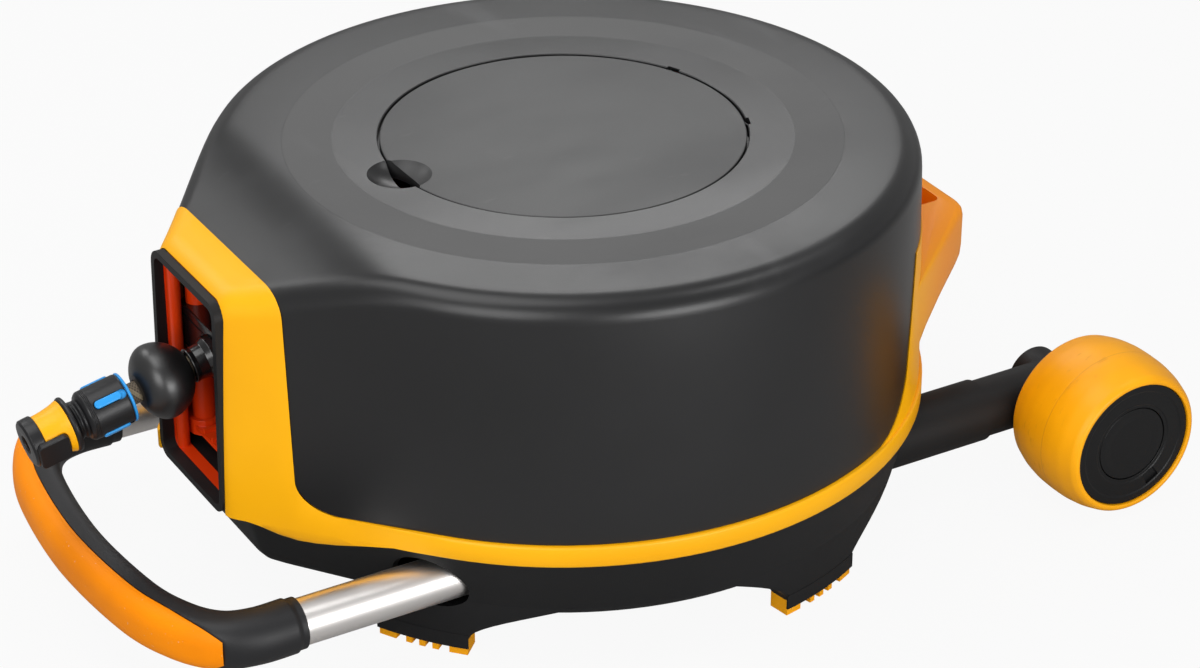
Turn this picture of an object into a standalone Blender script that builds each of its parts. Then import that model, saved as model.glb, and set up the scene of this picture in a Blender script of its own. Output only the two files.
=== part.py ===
"""Trolley hose reel that lies flat on four feet and two wheels.

The drum turns about an upright axis under a round cover. The hose leaves through a guide in the
front frame, a folding-in crank stands in a well under the lid, and a U-shaped pull handle slides
out of the base. Metres, +Z up. The origin is on the ground under the middle of the whole reel,
+X runs from the pull handle to the wheels.
"""

import math

import bmesh
import bpy
from mathutils import Matrix, Vector

# Overall sizes
BODY_R = 0.250  # outer radius of the trim ring
BODY_TOP = 0.275  # cover top above the ground
RING_BOTTOM = 0.0856
RING_HEIGHT = 0.0154
SNOUT_REACH = BODY_R + 0.038  # drum axis to the front face of the outlet frame
SNOUT_HALF = 0.054  # half width of that face
WHEEL_X = BODY_R + 0.066  # drum axis to wheel axle
WHEEL_R = 0.058
WHEEL_OUT = BODY_R - 0.004  # outer face of a wheel from the middle plane

# Clearances
GAP = 0.0004  # between pieces that touch on the real reel
SLIDE = 0.0004  # radial, for what slides or turns in another piece
RUN = 0.0012  # beside a turning or swinging piece

# Cover and lid
WALL = 0.003
SHELL_INSET = 0.0028  # the cover stands this far inside the trim ring
DRAFT = 0.004  # inward lean of the cover from its foot to its rim
RIM_FILLET = 0.016
NOSE_DROP = 0.030  # fall of the roof from the lid to the outlet frame
NOSE_START = BODY_R - 0.062  # drum axis to where the roof starts to fall
FRAME_BACK = SNOUT_REACH - 0.036  # drum axis to the seam between cover and outlet frame
REAR_SEAM = BODY_R - 0.090  # drum axis to the seam between cover and rear panel
SEAM_GAP = 0.0005
LID_R = 0.1246
LID_GAP = 0.0014
LID_THICK = 0.0044
LID_EDGE = 0.0012  # chamfer round the lid
LID_DROP = 0.0006  # lid top below the cover top
HINGE_X = LID_R - 0.0086  # lid hinge from the drum axis
HINGE_PIN_R = 0.0011
DISH_R = 0.022  # finger dish at the lid's edge
DISH_DEEP = 0.0095
WELL_R = LID_R - 0.0186
WEB_TOP = BODY_TOP - 0.071  # top of the plate that closes the drum core
WELL_FLOOR = WEB_TOP + 0.0035
WELL_WALL = 0.0022

# Base
BASE_INSET = 0.0035
BASE_DRAFT = 0.010
BASE_EDGE = 0.046  # lower edge of the base wall
BASE_FLOOR = 0.0335  # outside face of the floor
BASE_WALL = 0.003
BASE_FLANGE = 0.0095  # width of the flange round its top, which carries the deck
BASE_REACH = SNOUT_REACH - 0.020  # front of the base under the outlet frame
FOOT_R = BODY_R - 0.017
FOOT_WIDTH = 0.018
FOOT_TOP = 0.0125  # where a pad meets its leg
FOOT_ANGLES = {"front": (207.8, 224.3), "rear": (279.9, 297.4)}
DECK_TOP = 0.0885
DECK_THICK = 0.003

# Pull handle and wheel arms
TUBE_Y = 0.149
TUBE_Z = 0.058
TUBE_R = 0.0157
TUBE_WALL = 0.0016
GRIP_FRONT = SNOUT_REACH + 0.082  # drum axis to the middle of the grip bar
GRIP_SOCKET_R = TUBE_R + 0.0029
GRIP_SOCKET_END = GRIP_FRONT - 0.088
TUBE_FRONT = GRIP_SOCKET_END + 0.011  # drum axis to the end of the tube inside the grip
GUIDE_FRONT = BODY_R - 0.100  # ends of the tubes' guides, before and behind the drum axis
GUIDE_BACK = BODY_R - 0.114
GUIDE_R = TUBE_R + 0.0036
TUBE_TAIL = GUIDE_BACK - 0.021  # inner end of the tube when it is pushed in
SADDLE_X = 0.060  # saddles under the guides, from the drum axis
GRIP_HALF_W = 0.0165
GRIP_HALF_H = 0.0175
SLEEVE_R = 0.0222
ARM_R = 0.0205
SPIGOT_R = ARM_R - 0.0035  # of the arm, inside its sleeve
ARM_START = BODY_R - 0.001
AXLE_R = 0.0060

# Drum and winding
DRUM_BOTTOM = 0.1092  # inner face of the lower flange
DRUM_TOP = BODY_TOP - 0.0488  # inner face of the upper flange
FLANGE = 0.0026
FLANGE_R = BODY_R - 0.036
CORE_R = WELL_R + 0.007
CORE_WALL = 0.003
HUB_R = 0.0230
HOSE_R = 0.0074
TURN_GAP = 0.0004  # least gap between turns
HOSE_OUTER = FLANGE_R - 0.0095  # outside of the outer layer of turns
AXLE_TUBE_R = 0.0120
AXLE_BORE = 0.0070
AXLE_FOOT_R = 0.0250  # flange that stands in the base's round post
POST_BORE = AXLE_FOOT_R + 0.0005
ELBOW_Z = 0.150  # height of the water pipe in the drum
INLET_Z = 0.056
INLET_R = 0.0095

# Hose guide
GUIDE_X = SNOUT_REACH - 0.032  # spindle from the drum axis
GUIDE_Y = 0.044
SPINDLE_R = 0.0070
COLUMN_R = 0.0080
CARRIAGE_Z = 0.1775
CARRIAGE_HALF = 0.018
MODULE = 0.0045  # gear tooth pitch over pi
DRUM_TEETH = 14
SPINDLE_TEETH = 8
GEAR_BOTTOM = 0.0915
GEAR_THICK = 0.0075

# Outlet opening
OPEN_HALF = 0.0450
OPEN_LOW = 0.0900
OPEN_HIGH = BODY_TOP - 0.0390
BEZEL_WALL = 0.0055
BEZEL_BACK = SNOUT_REACH - 0.0095  # drum axis to its inner end
FRAME_WALL = 0.0045
FRAME_BOTTOM = 0.0770

# Hose end
HOSE_DROOP = math.radians(12.0)
BALL_X = SNOUT_REACH + 0.018
BALL_Z = 0.169
BALL_R = 0.0245
CONNECTOR_R = 0.0170
SPIGOT_END_R = 0.0085  # of the connector, inside the nozzle
NOZZLE_TIP_R = 0.0128

# Carry handle
CARRY_OUT = 0.032  # how far the handle bar stands out from the round body
CARRY_HALF = 0.080
CARRY_LOW = 0.136
CARRY_HIGH = 0.183
CARRY_BAR = 0.0150
CARRY_HOLE_HALF = 0.064

# The middle of the reel lies between the nozzle's tip and the back of the wheels
HOSE_TIP = 0.096  # middle of the stop ball to the nozzle's tip, along the hose
DRUM_X = (
    BALL_X + HOSE_TIP * math.cos(HOSE_DROOP) + NOZZLE_TIP_R * math.sin(HOSE_DROOP) - WHEEL_X - WHEEL_R
) / 2

reel = bpy.data.collections.new("hose_reel")
helpers = bpy.data.collections.new("cutters")


def clear_scene():
    for obj in list(bpy.data.objects):
        bpy.data.objects.remove(obj, do_unlink=True)
    bpy.context.scene.collection.children.link(reel)
    bpy.context.scene.collection.children.link(helpers)


def plastic(name, color, roughness=0.5, metallic=0.0):
    material = bpy.data.materials.new(name)
    material.use_nodes = True
    shader = material.node_tree.nodes["Principled BSDF"]
    shader.inputs["Base Color"].default_value = (*color, 1.0)
    shader.inputs["Roughness"].default_value = roughness
    shader.inputs["Metallic"].default_value = metallic
    return material


clear_scene()
BLACK = plastic("charcoal_plastic", (0.020, 0.020, 0.022), 0.55)
GLOSS = plastic("black_gloss_plastic", (0.012, 0.012, 0.013), 0.22)
AMBER = plastic("amber_plastic", (0.95, 0.40, 0.02), 0.45)
RED = plastic("orange_red_plastic", (0.75, 0.09, 0.015), 0.42)
BLUE = plastic("blue_plastic", (0.03, 0.35, 0.80), 0.40)
HOSE = plastic("hose", (0.16, 0.12, 0.075), 0.60)
ALUMINIUM = plastic("satin_aluminium", (0.80, 0.80, 0.82), 0.30, 1.0)
STEEL = plastic("steel", (0.55, 0.56, 0.58), 0.28, 1.0)
BRASS = plastic("brass", (0.72, 0.52, 0.22), 0.30, 1.0)
RUBBER = plastic("amber_rubber", (0.90, 0.33, 0.03), 0.70)
SEAL = plastic("seal_rubber", (0.015, 0.015, 0.015), 0.80)

origin = bpy.data.objects.new("drum_axis", None)
origin.location = (DRUM_X, 0, 0)
reel.objects.link(origin)


def add_object(name, mesh, material=None, at=(0, 0, 0), helper=False):
    """One object, placed from the drum axis."""
    obj = bpy.data.objects.new(name, mesh)
    (helpers if helper else reel).objects.link(obj)
    obj.parent = origin
    obj.location = at
    if helper:
        obj.hide_render = True
        obj.display_type = "WIRE"
    else:
        mesh.materials.clear()
        mesh.materials.append(material)
    return obj


def smooth(obj, degrees=35):
    obj.data.shade_smooth()
    obj.data.set_sharp_from_angle(angle=math.radians(degrees))
    return obj


def loft(name, sections, material=None, at=(0, 0, 0), cyclic=False, helper=False):
    """A skin through sections of equal point counts, capped at both ends unless it is cyclic."""
    bm = bmesh.new()
    rings = [[bm.verts.new(point) for point in section] for section in sections]
    count = len(rings[0])
    pairs = list(zip(rings, rings[1:]))
    if cyclic:
        pairs.append((rings[-1], rings[0]))
    for low, high in pairs:
        for i in range(count):
            j = (i + 1) % count
            bm.faces.new((low[i], low[j], high[j], high[i]))
    if not cyclic:
        bm.faces.new(list(reversed(rings[0])))
        bm.faces.new(rings[-1])
    bmesh.ops.recalc_face_normals(bm, faces=bm.faces)
    mesh = bpy.data.meshes.new(name)
    bm.to_mesh(mesh)
    bm.free()
    return smooth(add_object(name, mesh, material, at, helper))


def turned(name, profile, material=None, at=(0, 0, 0), along="Z", steps=32, ring=False, helper=False):
    """A profile of (radius, height) points, run down its outer side and turned about an axis."""
    mesh = bpy.data.meshes.new(name)
    points = [(radius, 0.0, height) for radius, height in profile]
    edges = [(i, i + 1) for i in range(len(points) - 1)]
    if ring:
        edges.append((len(points) - 1, 0))
    mesh.from_pydata(points, edges, [])
    obj = add_object(name, mesh, material, at, helper)
    screw = obj.modifiers.new("turn", "SCREW")
    screw.steps = screw.render_steps = steps
    screw.use_merge_vertices = True
    screw.merge_threshold = 0.00001
    screw.use_smooth_shade = True
    if along == "X":
        obj.rotation_euler = (0, math.pi / 2, 0)
    elif along == "Y":
        obj.rotation_euler = (-math.pi / 2, 0, 0)
    return obj


def bar(name, radius, low, high, material=None, at=(0, 0, 0), along="Z", steps=24, bore=0.0, helper=False):
    """A round bar, or a tube where it has a bore, between two heights on its axis."""
    if bore:
        profile = [(radius, high), (radius, low), (bore, low), (bore, high)]
    else:
        profile = [(0, high), (radius, high), (radius, low), (0, low)]
    return turned(name, profile, material, at, along, steps, bool(bore), helper)


def box(name, low, high, material=None, bevel=0.0, helper=False):
    """A box between two corners, with its own origin in its middle."""
    low, high = (Vector(pick(pair) for pair in zip(low, high)) for pick in (min, max))
    bm = bmesh.new()
    bmesh.ops.create_cube(bm, size=1.0)
    bmesh.ops.scale(bm, vec=high - low, verts=bm.verts)
    if bevel:
        bmesh.ops.bevel(
            bm, geom=list(bm.edges), offset=bevel, segments=2, profile=0.5, affect="EDGES"
        )
    mesh = bpy.data.meshes.new(name)
    bm.to_mesh(mesh)
    bm.free()
    return smooth(add_object(name, mesh, material, (low + high) / 2, helper))


# Solids with nearly touching curved faces, which the exact solver leaves open
CURVED_JOINS = {"trim_frame", "lid", "base_tray", "top_cover", "handle_grip"}


def boolean(obj, operation, *others):
    for other in others:
        modifier = obj.modifiers.new(operation.lower(), "BOOLEAN")
        modifier.operation = operation
        modifier.object = other
        modifier.solver = "MANIFOLD" if obj.name in CURVED_JOINS else "EXACT"
    return obj


def cut(obj, *others):
    return boolean(obj, "DIFFERENCE", *others)


def join(obj, *others):
    return boolean(obj, "UNION", *others)


def keep(obj, *others):
    return boolean(obj, "INTERSECT", *others)


def arc(cx, cz, radius, start, end, count):
    """Points on an arc in the (x, z) plane, from one angle in degrees to another."""
    span = end - start
    angles = [math.radians(start + span * i / count) for i in range(count + 1)]
    return [(cx + radius * math.cos(a), cz + radius * math.sin(a)) for a in angles]


def slab(name, outline, low, high, helper=True):
    """A flat outline in the (x, z) plane, made thick along Y."""
    sections = [[(x, y, z) for x, z in outline] for y in (low, high)]
    return loft(name, sections, helper=helper)


def plate(name, outline, low, high, material=None, at=(0, 0, 0), helper=False):
    """A flat outline in the (x, y) plane, made thick along Z."""
    sections = [[(x, y, z) for x, y in outline] for z in (low, high)]
    return loft(name, sections, material, at, helper=helper)



# Outline of the body: a circle with a flat-ended nose whose flanks touch the circle
CORNER = 160  # sharpness of the nose's two upright corners
CORNER_AT = round(math.degrees(math.atan2(SNOUT_HALF, SNOUT_REACH)), 1)
CORNER_STEPS = (-5.1, -2.0, -0.7, 0.8, 3.4, 9.4, 17.4, 26.4)  # degrees from a corner
NOSE_STEPS = (0, *(CORNER_AT + step for step in CORNER_STEPS))  # degrees from the nose's middle
ROUND_STEPS = 12  # facets round the rest of each half


def nose_radius(angle, radius, reach, half, toward=math.pi):
    """Distance from the drum axis to the outline, at an angle."""
    away = abs((angle - toward + math.pi) % (2 * math.pi) - math.pi)
    flank = math.atan2(half, reach) + math.acos(radius / math.hypot(reach, half))
    if away >= flank:
        return radius
    side = radius / math.cos(flank - away)
    front = reach / math.cos(away)
    return front * (1 + (front / side) ** CORNER) ** (-1 / CORNER)


def body_angles():
    """Angles of the outline's points, closer together round the nose."""
    last = NOSE_STEPS[-1]
    offsets = list(NOSE_STEPS)
    offsets += [last + (180 - last) * i / ROUND_STEPS for i in range(1, ROUND_STEPS + 1)]
    around = offsets + [360 - a for a in reversed(offsets[1:-1])]
    return [math.pi + math.radians(a) for a in around]


ANGLES = body_angles()


def ring_at(radius_of, height_of):
    """A section of the body: its radius at an angle, and its height at a point's x."""
    section = []
    for angle in ANGLES:
        radius = radius_of(angle)
        x = radius * math.cos(angle)
        section.append((x, radius * math.sin(angle), height_of(x)))
    return section


def flat_ring(radius_of, height):
    return ring_at(radius_of, lambda x: height)


def circle_ring(radius, height):
    return flat_ring(lambda angle: radius, height)


def roof(x, drop=0.0):
    """Height of the cover's roof, which falls in a soft S to the outlet frame."""
    t = min(1.0, max(0.0, (-x - NOSE_START) / (SNOUT_REACH - NOSE_START)))
    return BODY_TOP - drop - NOSE_DROP * t * t * (3 - 2 * t)


RING_TOP = RING_BOTTOM + RING_HEIGHT
NOSE_TAPER = 0.007  # how much narrower each side of the nose is at the roof
NOSE_LEAN = 0.003  # how far the front face leans back


def wall_radius(angle, height, inward):
    """The body's side wall at a height, moved inward by a distance."""
    rise = (height - RING_TOP) / (BODY_TOP - RING_TOP)
    return nose_radius(
        angle,
        BODY_R - DRAFT * rise - inward,
        SNOUT_REACH - NOSE_LEAN * rise - inward,
        SNOUT_HALF - NOSE_TAPER * rise - inward / 2,
    )


def body_skin(low, inward, roof_end, plain=False):
    """Sections from the foot of the wall, over the rim and in along the roof to a circle."""
    fillet = RIM_FILLET - (inward - SHELL_INSET)
    drop = inward - SHELL_INSET
    sections = [
        flat_ring(lambda a: wall_radius(a, low, inward), low),
        ring_at(lambda a: wall_radius(a, BODY_TOP, inward), lambda x: roof(x, drop) - fillet),
    ]
    for turn in (90,) if plain else (30, 60, 90):
        back = fillet * (1 - math.cos(math.radians(turn)))
        up = fillet * math.sin(math.radians(turn))
        sections.append(
            ring_at(
                lambda a: wall_radius(a, BODY_TOP, inward) - back,
                lambda x: roof(x, drop) - fillet + up,
            )
        )
    for share in (0.5, 1.0) if plain else (0.3, 0.65, 1.0):
        sections.append(
            ring_at(
                lambda a: (1 - share) * (wall_radius(a, BODY_TOP, inward) - fillet) + share * roof_end,
                lambda x: roof(x, drop),
            )
        )
    return sections


# Side view of the seams between the black cover and the amber trim, as an outline in (x, z)
SEAM_CORNER_FRONT = 0.022
SEAM_CORNER_REAR = 0.045
REAR_LEAN = 0.014  # how far the rear seam leans back over its height
REAR_TOP = BODY_TOP - 0.061  # top of the rear panel


def seam_outline(shrink):
    """The cover's side of the seam. It shrinks by half the seam's gap and grows for the trim."""
    low = RING_TOP + shrink
    front = -FRAME_BACK + shrink
    rear = REAR_SEAM - shrink
    high = BODY_TOP + 0.02
    outline = [(front, high)]
    outline += arc(front + SEAM_CORNER_FRONT, low + SEAM_CORNER_FRONT, SEAM_CORNER_FRONT, 180, 270, 6)
    outline += arc(rear - SEAM_CORNER_REAR, low + SEAM_CORNER_REAR, SEAM_CORNER_REAR, 270, 350, 6)
    outline.append((rear + REAR_LEAN, REAR_TOP + shrink))
    outline += [(BODY_R + 0.02, REAR_TOP + shrink), (BODY_R + 0.02, high)]
    return outline


# Black cover: one moulding with the roof, the recess for the lid and half of the finger dish
RECESS_R = LID_R + LID_GAP
LID_TOP = BODY_TOP - LID_DROP
LID_BOTTOM = LID_TOP - LID_THICK
LEDGE_TOP = LID_BOTTOM - GAP
LEDGE_BOTTOM = LEDGE_TOP - WALL
HINGE_Z = LID_TOP - LID_THICK / 2
DISH_CUP_R = DISH_R + 0.0035
DISH_BALL_R = (DISH_R**2 + DISH_DEEP**2) / (2 * DISH_DEEP)
DISH_LOW = BODY_TOP - DISH_DEEP - 0.004
HINGE_POCKET_R = 0.0055
SIDE_VIEW = BODY_R + 0.05  # half width of what cuts the seams
PIN_Y = math.sqrt(LID_R**2 - HINGE_X**2)  # where the lid's edge crosses the hinge line
PIN_HALF = 0.006


def dish_ball():
    """The ball that scoops the finger dish out of the lid and the cover."""
    mesh = bpy.data.meshes.new("dish_ball")
    bm = bmesh.new()
    bmesh.ops.create_uvsphere(bm, u_segments=28, v_segments=16, radius=DISH_BALL_R)
    bm.to_mesh(mesh)
    bm.free()
    return add_object("dish_ball", mesh, at=(-LID_R, 0, BODY_TOP - DISH_DEEP + DISH_BALL_R), helper=True)


DISH_BALL = dish_ball()


def hinge_line(name, radius, half_length, side, helper=False, material=None):
    return bar(
        name, radius, -half_length, half_length, material,
        (HINGE_X, side * PIN_Y, HINGE_Z), "Y", 16, helper=helper,
    )


def make_cover():
    outer = body_skin(RING_TOP + GAP, SHELL_INSET, RECESS_R)
    inner = body_skin(RING_TOP + GAP, SHELL_INSET + WALL, RECESS_R + WALL, plain=True)
    recess = [
        circle_ring(RECESS_R, LEDGE_TOP),
        circle_ring(WELL_R, LEDGE_TOP),
        circle_ring(WELL_R, LEDGE_BOTTOM),
        circle_ring(RECESS_R + WALL, LEDGE_BOTTOM),
    ]
    cover = loft("top_cover", outer + recess + inner[::-1], BLACK, cyclic=True)
    cup = bar(
        "dish_cup", DISH_CUP_R, DISH_LOW, BODY_TOP - WALL / 2, at=(-LID_R, 0, 0), steps=16, helper=True
    )
    lid_side = bar("lid_side", RECESS_R, DISH_LOW - 0.01, BODY_TOP + 0.01, steps=40, helper=True)
    cup_room = bar(
        "dish_cup_room", DISH_CUP_R + RUN, DISH_LOW - 0.01, LEDGE_TOP + 0.001,
        at=(-LID_R, 0, 0), steps=16, helper=True,
    )
    keep(cup_room, lid_side)
    cut(cup, lid_side)
    join(cover, cup)
    cut(cover, cup_room, DISH_BALL)
    hinge_room = plate("hinge_room", hinge_room_outline(), DISH_LOW, LEDGE_TOP + 0.0005, helper=True)
    cut(cover, hinge_room)
    for side in (-1, 1):
        pocket = bar(
            f"hinge_pocket_{side}", HINGE_POCKET_R, HINGE_Z - 0.006, BODY_TOP + 0.01,
            at=(HINGE_X - 0.001, side * (PIN_Y + 0.0015), 0), steps=24, helper=True,
        )
        boss = box(
            f"hinge_boss_{side}",
            (HINGE_X - 0.006, side * (PIN_Y + 0.0075), LEDGE_BOTTOM + 0.0005),
            (HINGE_X + 0.006, side * (PIN_Y + 0.0125), BODY_TOP - WALL / 2),
            helper=True,
        )
        cut(boss, lid_side)
        bore = hinge_line(f"hinge_bore_{side}", HINGE_PIN_R + SLIDE, 0.010, side, helper=True)
        join(cover, boss)
        cut(cover, pocket, bore)
    keep(cover, slab("cover_side_view", seam_outline(SEAM_GAP / 2), -SIDE_VIEW, SIDE_VIEW))


def hinge_room_outline():
    """Where the lid's rear edge swings down: the segment of the recess behind the hinge."""
    start = HINGE_X - 0.006
    half = math.degrees(math.acos(start / RECESS_R))
    angles = [math.radians(-half + 2 * half * i / 12) for i in range(13)]
    return [(RECESS_R * math.cos(a), RECESS_R * math.sin(a)) for a in angles]


make_cover()


# Lid: a flat disc with the inner half of the finger dish, swinging on two pins at its rear edge
def make_lid():
    profile = [
        (0, LID_TOP),
        (LID_R - LID_EDGE, LID_TOP),
        (LID_R, LID_TOP - LID_EDGE),
        (LID_R, LID_BOTTOM + LID_EDGE),
        (LID_R - LID_EDGE, LID_BOTTOM),
        (0, LID_BOTTOM),
    ]
    profile = [(radius, height - HINGE_Z) for radius, height in profile]
    lid = turned("lid", profile, BLACK, (0, 0, HINGE_Z), steps=40)
    cup = bar(
        "lid_dish_cup", DISH_CUP_R, DISH_LOW, LID_BOTTOM + 0.001, at=(-LID_R, 0, 0), steps=16, helper=True
    )
    inside = bar("lid_inside", LID_R, DISH_LOW - 0.01, BODY_TOP, steps=40, helper=True)
    keep(cup, inside)
    join(lid, cup)
    cut(lid, DISH_BALL)
    for side in (-1, 1):
        cut(lid, hinge_line(f"lid_pin_bore_{side}", HINGE_PIN_R + SLIDE, 0.010, side, helper=True))


make_lid()
for side, name in ((-1, "lid_pin_near"), (1, "lid_pin_far")):
    hinge_line(name, HINGE_PIN_R, PIN_HALF, side, material=STEEL)


# Crank well: a black cup that hangs from the ledge and closes the drum off from the lid's room
def make_well():
    outer = WELL_R - RUN
    inner = outer - WELL_WALL
    under = WELL_FLOOR - WELL_WALL
    profile = [
        (outer, LEDGE_BOTTOM - GAP),
        (outer, under),
        (HUB_R + RUN, under),
        (HUB_R + RUN, WELL_FLOOR),
        (inner, WELL_FLOOR),
        (inner, LEDGE_TOP - 0.001),
        (outer, LEDGE_TOP - 0.001),
    ]
    flange = [
        (RECESS_R + WALL, LEDGE_BOTTOM - GAP),
        (RECESS_R + WALL, LEDGE_BOTTOM - GAP - WELL_WALL),
        (inner, LEDGE_BOTTOM - GAP - WELL_WALL),
        (inner, LEDGE_BOTTOM - GAP),
    ]
    well = turned("crank_well", profile, BLACK, steps=28, ring=True)
    lip = turned("well_lip", flange, steps=28, ring=True, helper=True)
    room = bar(
        "well_dish_room", DISH_CUP_R + 2 * RUN, DISH_LOW - 0.006, BODY_TOP,
        at=(-LID_R, 0, 0), steps=32, helper=True,
    )
    hinge_room = plate("well_hinge_room", hinge_room_outline(), DISH_LOW - 0.004, BODY_TOP, helper=True)
    join(well, lip)
    cut(well, room, hinge_room)


make_well()


# Trim: one amber moulding with the outlet frame, the ring, the rear panel and the carry handle
def make_trim():
    proud = SHELL_INSET - 0.0008
    inner = SHELL_INSET + FRAME_WALL
    foot = RING_BOTTOM + 0.0015
    outer = body_skin(foot, proud, RECESS_R)
    lining = body_skin(foot, inner, RECESS_R, plain=True)
    trim = loft("trim_frame", outer + lining[::-1], AMBER, cyclic=True)
    ring = loft(
        "ring_band",
        [
            flat_ring(lambda a: wall_radius(a, RING_BOTTOM, inset), height)
            for inset, height in (
                (0.0012, RING_BOTTOM), (0.0, RING_BOTTOM + 0.0012), (0.0, RING_TOP - 0.0012),
                (0.0010, RING_TOP), (inner - 0.0009, RING_TOP), (inner - 0.0009, RING_BOTTOM),
            )
        ],
        cyclic=True, helper=True,
    )
    lip = loft(
        "frame_lip",
        [
            flat_ring(lambda a: wall_radius(a, RING_BOTTOM, inset), height)
            for inset, height in (
                (0.004, FRAME_BOTTOM), (0.0, FRAME_BOTTOM + 0.005), (0.0, RING_TOP - 0.002),
                (inner + 0.0011, RING_TOP - 0.002), (inner + 0.0011, FRAME_BOTTOM),
            )
        ],
        cyclic=True, helper=True,
    )
    keep(lip, box("lip_room", (-0.4, -0.2, 0), (-FRAME_BACK + 0.012, 0.2, 0.2), helper=True))
    cut(trim, slab("trim_side_view", seam_outline(-SEAM_GAP / 2), -SIDE_VIEW, SIDE_VIEW))
    join(trim, ring, lip)
    mouth = rounded(OPEN_HALF + BEZEL_WALL, OPEN_LOW - BEZEL_WALL, OPEN_HIGH + BEZEL_WALL, 0.012)
    cut(trim, slab_x("outlet_cut", mouth, -SNOUT_REACH - 0.032, -FRAME_BACK - 0.010))
    join(trim, carry_handle())
    cut(trim, *carry_cuts())


def rounded(half, low, high, corner):
    """A rectangle with round corners, as (across, height) points."""
    outline = []
    for cx, cz, start in (
        (half - corner, high - corner, 0), (-half + corner, high - corner, 90),
        (-half + corner, low + corner, 180), (half - corner, low + corner, 270),
    ):
        outline += arc(cx, cz, corner, start, start + 90, 4)
    return outline


def slab_x(name, outline, low, high, material=None, helper=True):
    """A flat outline in the (y, z) plane, made thick along X."""
    sections = [[(x, y, z) for y, z in outline] for x in (low, high)]
    return loft(name, sections, material, helper=helper)


def carry_handle():
    """The flare behind the body that ends in the handle bar."""
    base = BODY_R - SHELL_INSET
    levels = (
        (0.0985, 0.003, 0.150), (0.108, 0.0055, 0.128), (0.120, 0.014, 0.104), (0.130, 0.023, 0.088),
        (CARRY_LOW, CARRY_OUT - 0.0035, CARRY_HALF), (0.144, CARRY_OUT, CARRY_HALF),
        (CARRY_HIGH - 0.004, CARRY_OUT, CARRY_HALF), (CARRY_HIGH, CARRY_OUT - 0.004, CARRY_HALF - 0.003),
    )
    sections = [
        flat_ring(lambda a: nose_radius(a, base - 0.0024, BODY_R + out, half, 0.0), height)
        for height, out, half in levels
    ]
    flare = loft("handle_flare", sections, helper=True)
    hollow = loft(
        "flare_hollow",
        [flat_ring(lambda a: wall_radius(a, h, SHELL_INSET + 0.0016), h) for h in (0.09, 0.2)],
        helper=True,
    )
    rear_end = BODY_R + CARRY_OUT + 0.1
    rear = box("flare_room", (REAR_SEAM + REAR_LEAN + 0.003, -0.2, 0.05), (rear_end, 0.2, 0.3), helper=True)
    keep(flare, rear)
    return cut(flare, hollow)


def carry_cuts():
    """The finger slot behind the handle bar and the window under it."""
    bar_inner = BODY_R + CARRY_OUT - CARRY_BAR
    body = BODY_R - 0.0025
    outline = slot_outline(body, bar_inner, CARRY_HOLE_HALF)
    slot = plate("finger_slot", outline, CARRY_LOW - 0.030, REAR_TOP + 0.02, helper=True)
    window = slab_x(
        "hand_window", rounded(CARRY_HOLE_HALF, 0.112, CARRY_LOW + 0.012, 0.010), body, BODY_R + 0.15
    )
    return slot, window


def slot_outline(low, high, half):
    """The slot in plan, with round corners on the bar's side."""
    corner = 0.006
    points = arc(high - corner, half - corner, corner, 0, 90, 4)
    points += [(low, half), (low, -half)]
    return points + arc(high - corner, -half + corner, corner, 270, 360, 4)


make_trim()


# Base: a shallow black dish with four legs, mouths for the handle tubes and sleeves for the wheel arms
def base_radius(angle, radius, reach):
    return nose_radius(angle, radius, reach, SNOUT_HALF - 0.006)


def base_section(inward, drop, height):
    """A section of the base: how far inside the ring, how far its nose is set back, and its height."""
    return flat_ring(
        lambda a: base_radius(a, BODY_R - BASE_INSET - inward, BASE_REACH - drop), height
    )


def leg(name, start, end, slope_start, slope_end):
    """A leg between two plan angles in degrees, whose ends spread as it rises to the base wall."""
    sections = []
    levels = (
        (FOOT_TOP, 0.0, FOOT_R, FOOT_R - FOOT_WIDTH),
        (0.038, 0.45, FOOT_R + 0.0028, FOOT_R - FOOT_WIDTH - 0.003),
        (BASE_EDGE + 0.002, 1.0, FOOT_R + 0.0036, FOOT_R - FOOT_WIDTH - 0.004),
    )
    for height, spread, outer, inner in levels:
        first = math.radians(start - slope_start * spread)
        last = math.radians(end + slope_end * spread)
        angles = [first + (last - first) * i / 3 for i in range(4)]
        section = [(outer * math.cos(a), outer * math.sin(a), height) for a in angles]
        section += [(inner * math.cos(a), inner * math.sin(a), height) for a in reversed(angles)]
        sections.append(section)
    return loft(name, sections, helper=True)


def mirrored(angles):
    """Plan angles on the other side of the middle plane."""
    return -angles[1], -angles[0]


LEGS = {
    "front_near": (FOOT_ANGLES["front"], 2.5, 9.0),
    "rear_near": (FOOT_ANGLES["rear"], 7.0, 15.0),
    "front_far": (mirrored(FOOT_ANGLES["front"]), 9.0, 2.5),
    "rear_far": (mirrored(FOOT_ANGLES["rear"]), 15.0, 7.0),
}
RIM_SEAT = RING_BOTTOM - GAP  # top of the base wall, under the ring


def round_cut(name, radius, low, high, at, steps=16):
    """A round tool along X."""
    return bar(name, radius, low, high, at=at, along="X", steps=steps, helper=True)


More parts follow.
